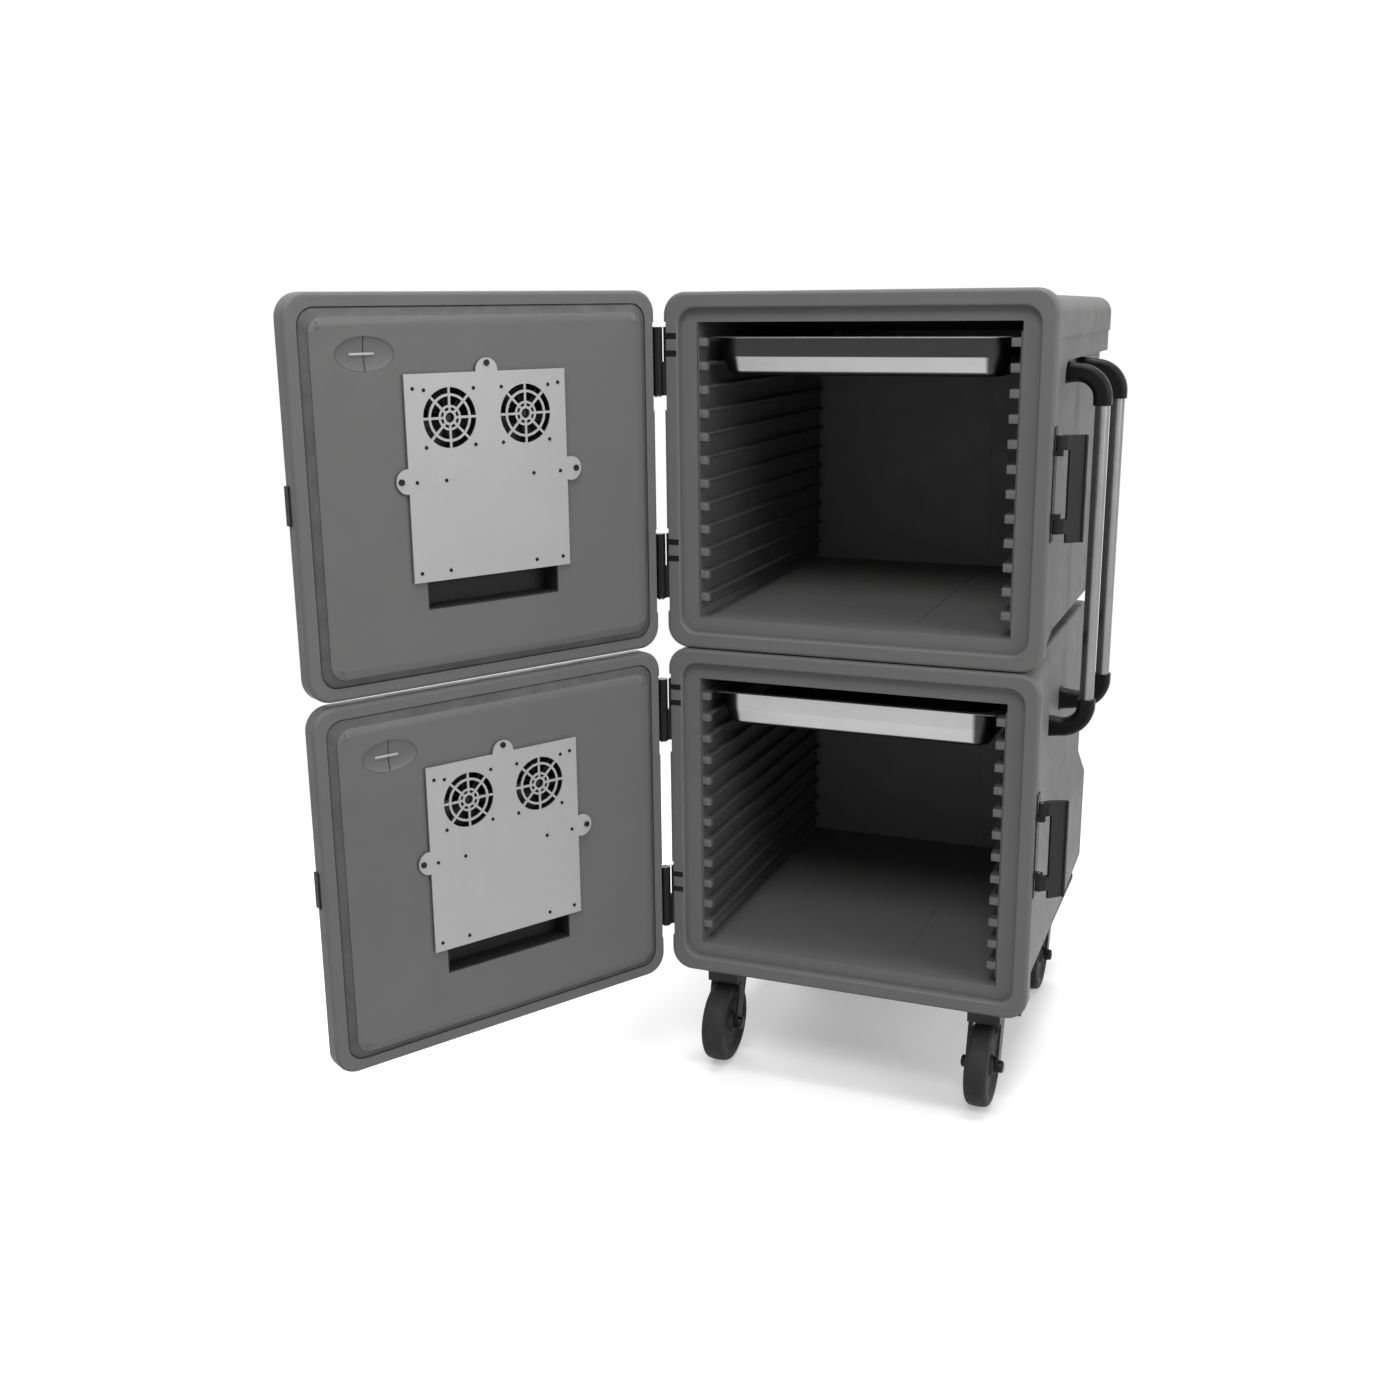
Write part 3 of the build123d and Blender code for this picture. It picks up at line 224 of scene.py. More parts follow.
def spread(tree, value, low, high, out_low, out_high):
    node = tree.nodes.new("ShaderNodeMapRange")
    node.inputs["From Min"].default_value = low
    node.inputs["From Max"].default_value = high
    node.inputs["To Min"].default_value = out_low
    node.inputs["To Max"].default_value = out_high
    linked(tree, (value, node.inputs["Value"]))
    return node.outputs["Result"]


def blended(tree, share, first, second):
    """Mix node from one colour to another; its A socket takes the layer below."""
    node = tree.nodes.new("ShaderNodeMix")
    node.data_type = "RGBA"
    node.inputs["A"].default_value = (*first, 1)
    node.inputs["B"].default_value = (*second, 1)
    linked(tree, (share, node.inputs["Factor"]))
    return node


def seen_directly(tree):
    """One for rays from the camera, through glass or off gloss, else nought."""
    rays = tree.nodes.new("ShaderNodeLightPath")
    result = rays.outputs["Is Camera Ray"]
    for other in ("Is Glossy Ray", "Is Transmission Ray"):
        either = tree.nodes.new("ShaderNodeMath")
        either.operation = "MAXIMUM"
        linked(tree, (result, either.inputs[0]), (rays.outputs[other], either.inputs[1]))
        result = either.outputs["Value"]
    return result


def shaded(base, factor):
    return tuple(min(1.0, channel * factor) for channel in base)


def layered(tree, below, share, base, tint):
    """Lays a tinted copy of the base colour over what is below, by its share."""
    layer = blended(tree, share, base, shaded(base, tint))
    linked(tree, (below, layer.inputs["A"]))
    return layer.outputs["Result"]


def finish(
    name,
    base,
    metallic,
    roughness,
    mottle,
    grain,
    stretch=None,
    scuffs=0.0,
    specular=0.5,
    streaks=0.0,
    painted_shade=0.0,
):
    """Procedural finish: mottled colour, uneven gloss, fine grain, scuffs and a band of painted
    shade.

    mottle holds scale, darkest and palest tint; grain holds scale, strength and height.
    """
    material = bpy.data.materials.new(name)
    material.use_nodes = True
    tree = material.node_tree
    shader = tree.nodes["Principled BSDF"]
    shader.inputs["Metallic"].default_value = metallic
    shader.inputs["Specular IOR Level"].default_value = specular
    coords = tree.nodes.new("ShaderNodeTexCoord").outputs["Object"]
    broad = noise(tree, coords, mottle[0], 4.0, 0.6)
    share = spread(tree, broad, 0.35, 0.65, 0.0, 1.0)
    body = blended(tree, share, shaded(base, mottle[1]), shaded(base, mottle[2]))
    result = body.outputs["Result"]
    fine = noise(tree, coords, grain[0], 2.0, 0.6, stretch)
    if streaks:
        lines = noise(tree, coords, grain[0] * 0.35, 2.0, 0.7, stretch)
        share = spread(tree, lines, 0.3, 0.7, 0.0, streaks)
        result = layered(tree, result, share, base, STREAK_TINT)
    if scuffs:
        marks = noise(tree, coords, SCUFF_SCALE, 6.0, 0.72, (1.0, 1.0, 0.18))
        share = spread(tree, marks, 0.62, 0.74, 0.0, scuffs)
        result = layered(tree, result, share, base, SCUFF_TINT)
    # Painted shade: the base colour darkened where the vertex attribute is set
    if painted_shade:
        mark = tree.nodes.new("ShaderNodeAttribute")
        mark.attribute_name = PAINTED_SHADE_BAND
        result = layered(tree, result, mark.outputs["Fac"], base, painted_shade)
    linked(tree, (result, shader.inputs["Base Color"]))
    gloss = noise(tree, coords, mottle[0] * 5, 3.0, 0.6)
    rough = spread(tree, gloss, 0.3, 0.7, roughness[0], roughness[1])
    linked(tree, (rough, shader.inputs["Roughness"]))
    bump = tree.nodes.new("ShaderNodeBump")
    bump.inputs["Strength"].default_value = grain[1]
    bump.inputs["Distance"].default_value = grain[2]
    linked(
        tree,
        (fine, bump.inputs["Height"]),
        (bump.outputs["Normal"], shader.inputs["Normal"]),
    )
    return material


def make_finishes():
    tints = bpy.context.scene.cart_finishes
    return {
        "shell": finish(
            "moulded_grey", tints.shell, 0, (0.5, 0.62), (4.0, 0.98, 1.02),
            (520.0, 0.3, 0.0004), scuffs=0.03, specular=0.35,
        ),
        # A darker copy of the shell's grey for the ledge panels: painted shade
        "lining_painted_shade": finish(
            "ledge_grey_painted_shade", tints.lining_painted_shade, 0, (0.5, 0.62), (7.0, 0.95, 1.05),
            (620.0, 0.3, 0.0004), scuffs=0.05, specular=0.35,
        ),
        "plastic": finish(
            "black_nylon", tints.plastic, 0, (0.4, 0.54), (20.0, 0.85, 1.15),
            (1500.0, 0.25, 0.0002), scuffs=0.1, specular=0.2,
        ),
        "grip": finish(
            "charcoal_grip", tints.grip, 0, (0.45, 0.6), (20.0, 0.92, 1.08),
            (1400.0, 0.3, 0.0002), scuffs=0.12, specular=0.25,
        ),
        "gasket": finish(
            "gasket_rubber", tints.gasket, 0, (0.7, 0.85), (30.0, 0.85, 1.1),
            (1800.0, 0.25, 0.0002), specular=0.25,
        ),
        "plate": finish(
            "satin_plate", tints.plate, 0.25, (0.42, 0.5), (9.0, 0.98, 1.02),
            (900.0, 0.06, 0.0001), stretch=(1, 1, 0.05), streaks=0.03,
        ),
        "housing": finish(
            "coated_tray", tints.housing, 0.2, (0.5, 0.65), (30.0, 0.85, 1.1),
            (900.0, 0.2, 0.0002), specular=0.3,
        ),
        "fan": finish(
            "fan_plastic", tints.fan, 0, (0.35, 0.5), (40.0, 0.85, 1.15),
            (1600.0, 0.25, 0.0002), specular=0.3,
        ),
        # The marked parts of the pans are darkened to 0.12 of the steel's colour: painted shade
        "pan": finish(
            "drawn_steel", tints.pan, 1.0, (0.3, 0.38), (5.0, 0.97, 1.03),
            (420.0, 0.03, 0.0001), stretch=(0.1, 0.1, 1), streaks=0.05, painted_shade=0.12,
        ),
        "tube": finish(
            "drawn_aluminium", tints.tube, 1.0, (0.28, 0.38), (18.0, 0.93, 1.06),
            (1300.0, 0.08, 0.0001), stretch=(1, 1, 0.02), streaks=0.15,
        ),
        "caster": finish(
            "powder_black", tints.caster, 0, (0.38, 0.5), (25.0, 0.88, 1.15),
            (1100.0, 0.25, 0.0002), scuffs=0.15, specular=0.3,
        ),
        "tread": finish(
            "tread_rubber", tints.tread, 0, (0.55, 0.75), (18.0, 0.8, 1.15),
            (800.0, 0.4, 0.0003), scuffs=0.2, specular=0.25,
        ),
        "zinc": finish(
            "zinc_plate", tints.zinc, 1.0, (0.28, 0.42), (60.0, 0.9, 1.08),
            (900.0, 0.12, 0.0001),
        ),
        "screw": finish(
            "black_oxide", tints.screw, 0.6, (0.3, 0.45), (80.0, 0.85, 1.2),
            (1600.0, 0.2, 0.0001),
        ),
    }


# Shapes
def point(x, y, z):
    """Cart sizes in millimetres to a place in the shared frame."""
    return Vector((MIDDLE_X + x / 1000, FRONT_Y + y / 1000, z / 1000))


def swing():
    """Carries a closed door's pieces round the pins to the open door."""
    pin = Vector((PIN_X, PIN_Y, 0))
    turn = Matrix.Rotation(-DOOR_OPENING, 4, "Z")
    return Matrix.Translation(pin) @ turn @ Matrix.Translation(-pin)


def weigh_normals(piece):
    """Lets a piece's large faces settle its shading."""
    modifier = piece.modifiers.new("Weighted normals", "WEIGHTED_NORMAL")
    modifier.keep_sharp = True
    modifier.weight = 100


def placed(
    bm, name, body, material, replaced=(), smooth_angle=SMOOTH_BEND, weighted=False,
    crisp=False,
):
    """Makes an object of a finished bmesh, rides it on its body and hides the nodes it stands for.
    """
    limit = math.radians(smooth_angle)
    for face in bm.faces:
        face.smooth = True
    for edge in bm.edges:
        if len(edge.link_faces) == 2:
            bend = edge.calc_face_angle()
            edge.smooth = bend < limit
            if crisp and bend > CRISP_BEND:
                edge.smooth = min(face.calc_area() for face in edge.link_faces) < CRISP_AREA
    mesh = bpy.data.meshes.new(name)
    bm.to_mesh(mesh)
    bm.free()
    piece = bpy.data.objects.new(name, mesh)
    bpy.context.scene.collection.objects.link(piece)
    piece.data.materials.append(material)
    if weighted:
        weigh_normals(piece)
    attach(piece, body)
    if replaced:
        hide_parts(*replaced)
    return piece


def merged_copy(node):
    """A welded copy of a node's mesh with its flat faces joined."""
    bm = bmesh.new()
    bm.from_mesh(frame["nodes"][node].data)
    bmesh.ops.remove_doubles(bm, verts=bm.verts, dist=WELD)
    bmesh.ops.dissolve_limit(bm, angle_limit=FLAT_BEND, verts=bm.verts[:], edges=bm.edges[:])
    return bm


def softened(node, name, material, width, crisp=False, cut=None, reshape=None):
    """A node with its edges broken, standing for that node, or for its part before a cut."""
    bm = merged_copy(node)
    if reshape:
        reshape(bm)
    edges = [
        edge
        for edge in bm.edges
        if len(edge.link_faces) == 2 and edge.calc_face_angle() > SHARP_BEND
    ]
    if width and edges:
        bmesh.ops.bevel(
            bm,
            geom=edges,
            offset=width,
            offset_type="OFFSET",
            affect="EDGES",
            segments=2,
            profile=0.5,
            material=-1,
            clamp_overlap=True,
            loop_slide=True,
        )
    if cut:
        bmesh.ops.bisect_plane(
            bm,
            geom=bm.verts[:] + bm.edges[:] + bm.faces[:],
            plane_co=cut[0],
            plane_no=cut[1],
            clear_outer=True,
        )
        bmesh.ops.holes_fill(bm, edges=[edge for edge in bm.edges if edge.is_boundary])
    body = frame["nodes"][node]["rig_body"]
    return placed(bm, name, body, material, (node,), weighted=True, crisp=crisp)


def rounded_face(bm, centre, half_x, half_y, corner, segments=8):
    """A level rounded rectangle; half_x and half_y reach to its sides."""
    made = bmesh.ops.create_grid(bm, x_segments=1, y_segments=1, size=1.0)
    bmesh.ops.scale(bm, vec=(half_x, half_y, 1), verts=made["verts"])
    bmesh.ops.bevel(
        bm,
        geom=made["verts"],
        offset=corner,
        offset_type="OFFSET",
        affect="VERTICES",
        segments=segments,
        profile=0.5,
        material=-1,
    )
    bmesh.ops.translate(bm, vec=centre, verts=bm.verts)
    return bm.faces[:]


def stepped(bm, edges, centre, core_x, core_y, steps):
    """Extrudes a rounded outline through steps of (outward, upward) and returns its last rim."""
    for outward, upward in steps:
        made = bmesh.ops.extrude_edge_only(bm, edges=edges)["geom"]
        moved = [item for item in made if isinstance(item, bmesh.types.BMVert)]
        edges = [item for item in made if isinstance(item, bmesh.types.BMEdge)]
        for vert in moved:
            flat = vert.co - centre
            core = Vector(
                (max(-core_x, min(core_x, flat.x)), max(-core_y, min(core_y, flat.y)), 0)
            )
            away = Vector((flat.x, flat.y, 0)) - core
            vert.co += away.normalized() * outward + Vector((0, 0, upward))
    return edges


def levelled(bm, edges, core, half, corner, height):
    """Extrudes a rounded outline about the origin to another size, corner and height."""
    outer = half - Vector((corner, corner, 0))
    made = bmesh.ops.extrude_edge_only(bm, edges=edges)["geom"]
    for vert in made:
        if isinstance(vert, bmesh.types.BMVert):
            flat = Vector((vert.co.x, vert.co.y, 0))
            side = Vector((math.copysign(1, flat.x), math.copysign(1, flat.y), 0))
            away = (flat - core * side).normalized()
            vert.co = outer * side + away * corner + Vector((0, 0, height))
    return [item for item in made if isinstance(item, bmesh.types.BMEdge)], outer


def disc(bm, centre, axis, radius, sides=20):
    """A flat disc's rim points, for a hull."""
    seat = Matrix.Translation(centre) @ axis.to_track_quat("Z", "Y").to_matrix().to_4x4()
    made = bmesh.ops.create_circle(bm, cap_ends=False, segments=sides, radius=radius, matrix=seat)
    return made["verts"]


def arc(radius, start, end, count):
    """Steps of (outward, upward) along an arc from one heading to another, in degrees."""
    steps = []
    for index in range(count):
        a = math.radians(start + (end - start) * index / count)
        b = math.radians(start + (end - start) * (index + 1) / count)
        steps.append((radius * (math.cos(b) - math.cos(a)), radius * (math.sin(b) - math.sin(a))))
    return steps


def turned(bm, profile, axis_point, axis, segments=48):
    """Spins a profile of points about an axis into a closed surface."""
    verts = [bm.verts.new(place) for place in profile]
    edges = [bm.edges.new(pair) for pair in zip(verts, verts[1:])]
    bmesh.ops.spin(
        bm,
        geom=verts + edges,
        cent=axis_point,
        axis=axis,
        angle=math.tau,
        steps=segments,
        use_merge=True,
        use_duplicate=False,
    )
    bmesh.ops.remove_doubles(bm, verts=bm.verts, dist=1e-7)
    bmesh.ops.recalc_face_normals(bm, faces=bm.faces)


def screw(bm, place, out, radius, height, sides):
    """Button head with a socket; out points away from the part."""
    seat = Matrix.Translation(place) @ out.normalized().to_track_quat("Z", "Y").to_matrix().to_4x4()
    made = bmesh.ops.create_cone(
        bm,
        cap_ends=True,
        segments=sides,
        radius1=radius,
        radius2=radius * 0.82,
        depth=height,
        matrix=seat @ Matrix.Translation((0, 0, height / 2)),
    )
    top = max(
        {face for vert in made["verts"] for face in vert.link_faces},
        key=lambda face: face.calc_center_median().dot(out),
    )
    bmesh.ops.inset_region(bm, faces=[top], thickness=radius * 0.34, depth=0)
    made = bmesh.ops.extrude_face_region(bm, geom=[top])["geom"]
    floor = [item for item in made if isinstance(item, bmesh.types.BMVert)]
    bmesh.ops.translate(bm, vec=-out.normalized() * height * 0.6, verts=floor)
    bmesh.ops.delete(bm, geom=[top], context="FACES_ONLY")


class CartOperator:
    bl_options = {"REGISTER", "UNDO"}

    def execute(self, context):
        self.build(context.scene.cart_sizes)
        return {"FINISHED"}


class CART_OT_boxes(CartOperator, bpy.types.Operator):
    """Boxes with softened mouldings and their ledge panels"""

    bl_idname = "cart.boxes"
    bl_label = "Boxes"

    def build(self, sizes):
        for box in BOXES:
            softened(
                f"{box}_box_shell", f"{box}_box", FINISHES["shell"], sizes.shell_round
            )
            for side in ("left", "right"):
                softened(
                    f"{box}_{side}_rail_panel",
                    f"{box}_{side}_ledges",
                    FINISHES["lining_painted_shade"],
                    sizes.fitting_round * 1.5,
                )
            self.ledge_ends(box)

    def ledge_ends(self, box):
        """Thicker moulded front end under each ledge."""
        width, depth, height = 0.0155, 0.012, 0.014
        side, front, drop = 266, 20.6, 7.3
        bm = bmesh.new()
        for step in range(LEDGES):
            level = BOX_BASE[box] * 1000 + LEDGE_TOP - drop - LEDGE_PITCH * step
            for hand in (-1, 1):
                seat = Matrix.Translation(point(hand * side, front, level))
                bmesh.ops.create_cube(
                    bm, size=1, matrix=seat @ Matrix.Diagonal((width, depth, height, 1))
                )
        bmesh.ops.bevel(
            bm,
            geom=bm.edges[:],
            offset=0.0012,
            affect="EDGES",
            segments=2,
            profile=0.5,
            material=-1,
        )
        placed(bm, f"{box}_ledge_ends", "cart", FINISHES["shell"])


class CART_OT_doors(CartOperator, bpy.types.Operator):
    """Doors with their gaskets and vents"""

    bl_idname = "cart.doors"
    bl_label = "Doors"

    def build(self, sizes):
        for box in BOXES:
            softened(
                f"{box}_door_shell", f"{box}_door", FINISHES["shell"],
                sizes.shell_round, crisp=True, reshape=self.widen_slope,
            )
            self.gasket(box)
            self.vent(box)

    def widen_slope(self, bm):
        """Moves the upright edges of the raised face in, for a wider slope at either side."""
        closed = swing().inverted()
        bmesh.ops.transform(bm, matrix=closed, verts=bm.verts)
        origin = point(0, 0, 0)
        face_rise, face_side, shift = 11, 283.0, 0.007
        for vert in bm.verts:
            place = (vert.co - origin) * 1000
            if abs(place.y - face_rise) < 0.1 and abs(place.x) > face_side:
                vert.co.x -= math.copysign(shift, place.x)
        bmesh.ops.transform(bm, matrix=swing(), verts=bm.verts)

    def gasket(self, box):
        """Rubber strip that fills the groove and rises to the plug."""
        middle = (DOOR_BASE[box] + DOOR_TOP[box]) / 2
        span = Vector((FLANGE_SIDE, DOOR_TOP[box] - middle, 0))
        # Margin to the door's side, corner radius and depth of each ring, in millimetres
        profile = (
            (21.3, 27.7, -6.9), (21.3, 27.7, -5.6), (22.4, 27.4, -3.6), (24.2, 27.0, -1.8),
            (26.8, 26.3, -0.4), (29.6, 25.6, 1.0), (32.4, 24.8, 2.6), (34.8, 24.1, 4.3),
            (34.9, 24.1, -6.9),
        )
        bm = bmesh.new()
        edges, core = [], None
        for margin, corner, depth in profile:
            half = span - Vector((margin, margin, 0)) / 1000
            if not edges:
                faces = rounded_face(
                    bm, Vector((0, 0, -depth / 1000)), half.x, half.y, corner / 1000
                )
                bmesh.ops.delete(bm, geom=faces, context="FACES_ONLY")
                edges = first = bm.edges[:]
                core = half - Vector((corner, corner, 0)) / 1000
                continue
            edges, core = levelled(bm, edges, core, half, corner / 1000, -depth / 1000)
        bmesh.ops.bridge_loops(bm, edges=first + edges)
        bmesh.ops.recalc_face_normals(bm, faces=bm.faces)
        seat = swing() @ Matrix.Translation(point(0, 0, middle * 1000))
        bmesh.ops.transform(bm, matrix=seat @ Matrix.Rotation(math.pi / 2, 4, "X"), verts=bm.verts)
        placed(
            bm, f"{box}_gasket", f"{box}_door", FINISHES["gasket"],
            (f"{box}_door_gasket",), smooth_angle=60,
        )

    def vent(self, box):
        """Oval dish with an upright split, a black strip of painted shade, and a pale tab across
        it.
        """
        dish_half = (0.0482, 0.0257, 0.0052)
        dish_sink, sheet = 0.0107, 0.0005
        tab_place, tab_size, tab_round = (0.004, 0, -0.0072), (0.041, 0.004, 0.0034), 0.0007
        place = point(VENT_PLACE, 0, DOOR_TOP[box] * 1000 - VENT_DROP)
        seat = swing() @ Matrix.Translation(place)
        seat @= Matrix.Rotation(math.pi / 2, 4, "X")
        node = (f"{box}_door_vent",)
        body = f"{box}_door"
        split = 0.0008
        for part, material, slot, inside in (
            ("vent_dish", "shell", "shell_grey", False),
            # The split is a black strip standing for the shade in the groove: painted shade
            ("vent_split_painted_shade", "plastic", "black_plastic", True),
        ):
            bm = bmesh.new()
            bmesh.ops.create_uvsphere(
                bm, u_segments=48, v_segments=20, radius=1,
                matrix=Matrix.Diagonal((*dish_half, 1)),
            )
            low = [vert for vert in bm.verts if vert.co.z < -WELD]
            bmesh.ops.delete(bm, geom=low, context="VERTS")
            for edge_x in (-split, split):
                bmesh.ops.bisect_plane(
                    bm,
                    geom=bm.verts[:] + bm.edges[:] + bm.faces[:],
                    plane_co=(edge_x, 0, 0),
                    plane_no=(1, 0, 0),
                )
            spare = [
                face
                for face in bm.faces
                if (abs(face.calc_center_median().x) < split) != inside
            ]
            bmesh.ops.delete(bm, geom=spare, context="FACES")
            bmesh.ops.solidify(bm, geom=bm.faces[:], thickness=sheet)
            bmesh.ops.recalc_face_normals(bm, faces=bm.faces)
            bmesh.ops.translate(bm, vec=(0, 0, -dish_sink), verts=bm.verts)
            bmesh.ops.transform(bm, matrix=seat, verts=bm.verts)
            placed(bm, f"{box}_{part}", body, FINISHES[material], node)
        bm = bmesh.new()
        tab = Matrix.Translation(tab_place) @ Matrix.Diagonal((*tab_size, 1))
        bmesh.ops.create_cube(bm, size=1, matrix=tab)
        bmesh.ops.bevel(
            bm, geom=bm.edges[:], offset=tab_round, affect="EDGES", segments=2, profile=0.5,
            material=-1,
        )
        bmesh.ops.transform(bm, matrix=seat, verts=bm.verts)
        placed(bm, f"{box}_vent_tab", body, FINISHES["plate"], node)


# Small screws: half the fans' screw pitch, the cover's face, and for each row of holes its drop
# from the cover's top and its distances from the cover's middle, in millimetres
FAN_SCREW_HALF = 43.5
COVER_FACE = 16.6
COVER_ROWS = ((22.0, (131,)), (164.0, (131, 80)), (305.5, (131, 80)))

# Fan hub as radius and height over its back, in millimetres: outer rim, then dished front
HUB_BACK = -6.4
HUB_RIM = ((3.2, 0), (17.4, 0), (17.4, 14), (15.4, 17), (12.5, 17.8))
HUB_DISH = ((12.0, 17.0), (5.0, 17.0), (4.2, 17.8), (0.0, 17.8))
HUB_CLEAR = 0.0185

# Fan blades, in millimetres and degrees
BLADE_ROOT, BLADE_SPAN = 16.5, 28.3
ROOT_CHORD, TIP_CHORD = 17, 25
ROOT_PITCH, TIP_PITCH = 48, 30
BLADE_CAMBER, BLADE_SWEEP = 2.6, 5.0
BLADE_LEVEL = 9
BLADE_SHEET = 0.0012


class CART_OT_heaters(CartOperator, bpy.types.Operator):
    """Heater modules: trays, cover plates, screws, fan frames and rotors"""

    bl_idname = "cart.heaters"
    bl_label = "Heater modules"

    def build(self, sizes):
        for box in BOXES:
            softened(
                f"{box}_heater_housing", f"{box}_heater_tray", FINISHES["housing"],
                sizes.sheet_round,
            )
            softened(
                f"{box}_heater_plate", f"{box}_heater_cover", FINISHES["plate"],
                sizes.sheet_round,
            )
            softened(
                f"{box}_plate_screws", f"{box}_ear_screws", FINISHES["screw"],
                sizes.sheet_round,
            )
            softened(
                f"{box}_fan_frames", f"{box}_fans", FINISHES["fan"],
                sizes.fitting_round,
            )
            self.small_screws(box, sizes)
            for number, x in FAN_PLACES.items():
                self.rotor(box, number, x, sizes)

    def small_screws(self, box, sizes):
        """Small black screws in the cover's holes."""
        bm = bmesh.new()
        cover_top = DOOR_TOP[box] * 1000 - COVER_DROP
        places = []
        for x in FAN_PLACES.values():
            for dx in (-FAN_SCREW_HALF, FAN_SCREW_HALF):
                for dz in (-FAN_SCREW_HALF, FAN_SCREW_HALF):
                    places.append((x + dx, cover_top - FAN_DROP + dz))
        for drop, spreads in COVER_ROWS:
            for half in spreads:
                for x in (COVER_MIDDLE + half, COVER_MIDDLE - half):
                    places.append((x, cover_top - drop))
        turn = swing()
        out = (turn.to_3x3() @ Vector((0, 1, 0))).normalized()
        for x, z in places:
            place = turn @ point(x, COVER_FACE, z)
            screw(bm, place, out, sizes.screw_radius, height=0.0016, sides=12)
        placed(
            bm, f"{box}_cover_screws", f"{box}_door", FINISHES["screw"],
            smooth_angle=30,
        )

    def rotor(self, box, number, x, sizes):
        """Fan rotor: a domed hub cup and swept, cambered blades."""
        z = DOOR_TOP[box] * 1000 - COVER_DROP - FAN_DROP
        bm = bmesh.new()
        turned(
            bm,
            [point(x + radius, HUB_BACK + rise, z) for radius, rise in HUB_RIM + HUB_DISH],
            point(x, 0, z),
            Vector((0, 1, 0)),
            40,
        )
        blade = bmesh.ops.create_grid(bm, x_segments=8, y_segments=5, size=1.0)["verts"]
        for vert in blade:
            along, across = (vert.co.y + 1) / 2, vert.co.x
            reach = BLADE_ROOT + BLADE_SPAN * along
            half = (ROOT_CHORD + (TIP_CHORD - ROOT_CHORD) * along) / 2
            pitch = math.radians(ROOT_PITCH + (TIP_PITCH - ROOT_PITCH) * along)
            camber = BLADE_CAMBER * (1 - across * across)
            sweep = BLADE_SWEEP * along * along
            side = across * half * math.cos(pitch) + camber * math.sin(pitch) + sweep
            rise = across * half * math.sin(pitch) - camber * math.cos(pitch)
            foot = point(x + side, HUB_BACK + BLADE_LEVEL + rise, z)
            vert.co = foot + Vector((0, 0, reach / 1000))
        faces = list({face for vert in blade for face in vert.link_faces})
        for index in range(1, sizes.blades):
            made = bmesh.ops.duplicate(bm, geom=faces)["geom"]
            verts = [item for item in made if isinstance(item, bmesh.types.BMVert)]
            bmesh.ops.rotate(
                bm,
                cent=point(x, 0, z),
                matrix=Matrix.Rotation(math.tau * index / sizes.blades, 3, "Y"),
                verts=verts,
            )
        blades = [face for face in bm.faces if self.in_blade(face, point(x, 0, z))]
        bmesh.ops.solidify(bm, geom=blades, thickness=BLADE_SHEET)
        bmesh.ops.transform(bm, matrix=swing(), verts=bm.verts)
        placed(
            bm, f"{box}_rotor_{number}", f"{box}_fan_{number}", FINISHES["fan"],
            (f"{box}_fan_rotor_{number}",),
        )

    def in_blade(self, face, middle):
        """Whether a face is on a blade's border, or inside a blade and clear of the hub."""
        if any(edge.is_boundary for edge in face.edges):
            return True
        inside = all(len(vert.link_faces) == 4 for vert in face.verts)
        return inside and (face.calc_center_median() - middle).length > HUB_CLEAR


class CART_OT_hinges(CartOperator, bpy.types.Operator):
    """Lift-off hinges and their pins"""

    bl_idname = "cart.hinges"
    bl_label = "Hinges"

    def build(self, sizes):
        for box in BOXES:
            for part in ("hinge_box_leaves", "hinge_door_leaves"):
                softened(
                    f"{box}_{part}", f"{box}_{part}_moulded", FINISHES["plastic"],
                    sizes.fitting_round,
                )
            softened(
                f"{box}_hinge_pins", f"{box}_pins", FINISHES["zinc"],
                sizes.sheet_round,
            )


# Latch levers: their lean, their pivot in millimetres and how far out the grip starts
LATCH_ANGLE = math.radians(41.5)
LATCH_PIVOT = (340, 3)
GRIP_START = 0.0162


class CART_OT_latches(CartOperator, bpy.types.Operator):
    """Latch levers, bases, pins and keepers"""

    bl_idname = "cart.latches"
    bl_label = "Latches"

    def build(self, sizes):
        for box in BOXES:
            softened(
                f"{box}_latch_base", f"{box}_latch_seat", FINISHES["plastic"],
                sizes.fitting_round,
            )
            along = Vector((math.cos(LATCH_ANGLE), math.sin(LATCH_ANGLE), 0))
            seam = point(*LATCH_PIVOT, 0) + along * GRIP_START
            for part, material, away in (
                ("latch_arms", "plastic", along),
                ("latch_grip", "grip", -along),
            ):
                softened(
                    f"{box}_latch_lever", f"{box}_{part}", FINISHES[material],
                    sizes.fitting_round, cut=(seam, away),
                )
            softened(
                f"{box}_latch_keeper", f"{box}_keeper_strip", FINISHES["grip"],
                sizes.fitting_round,
            )
        softened("latch_pins", "latch_pivots", FINISHES["zinc"], sizes.sheet_round)


# Pans: depth, half of the wall's width and length at the rim, half of the rim's, wall corners,
# and the lean of the lower wall and the shoulder
PAN_DEPTH = 0.0648
PAN_WALL_HALF = (0.251, 0.311)
PAN_RIM_HALF = (0.2648, 0.3248)
PAN_CORNER = 0.040
PAN_DRAFT = 20
SHOULDER_DRAFT = 3


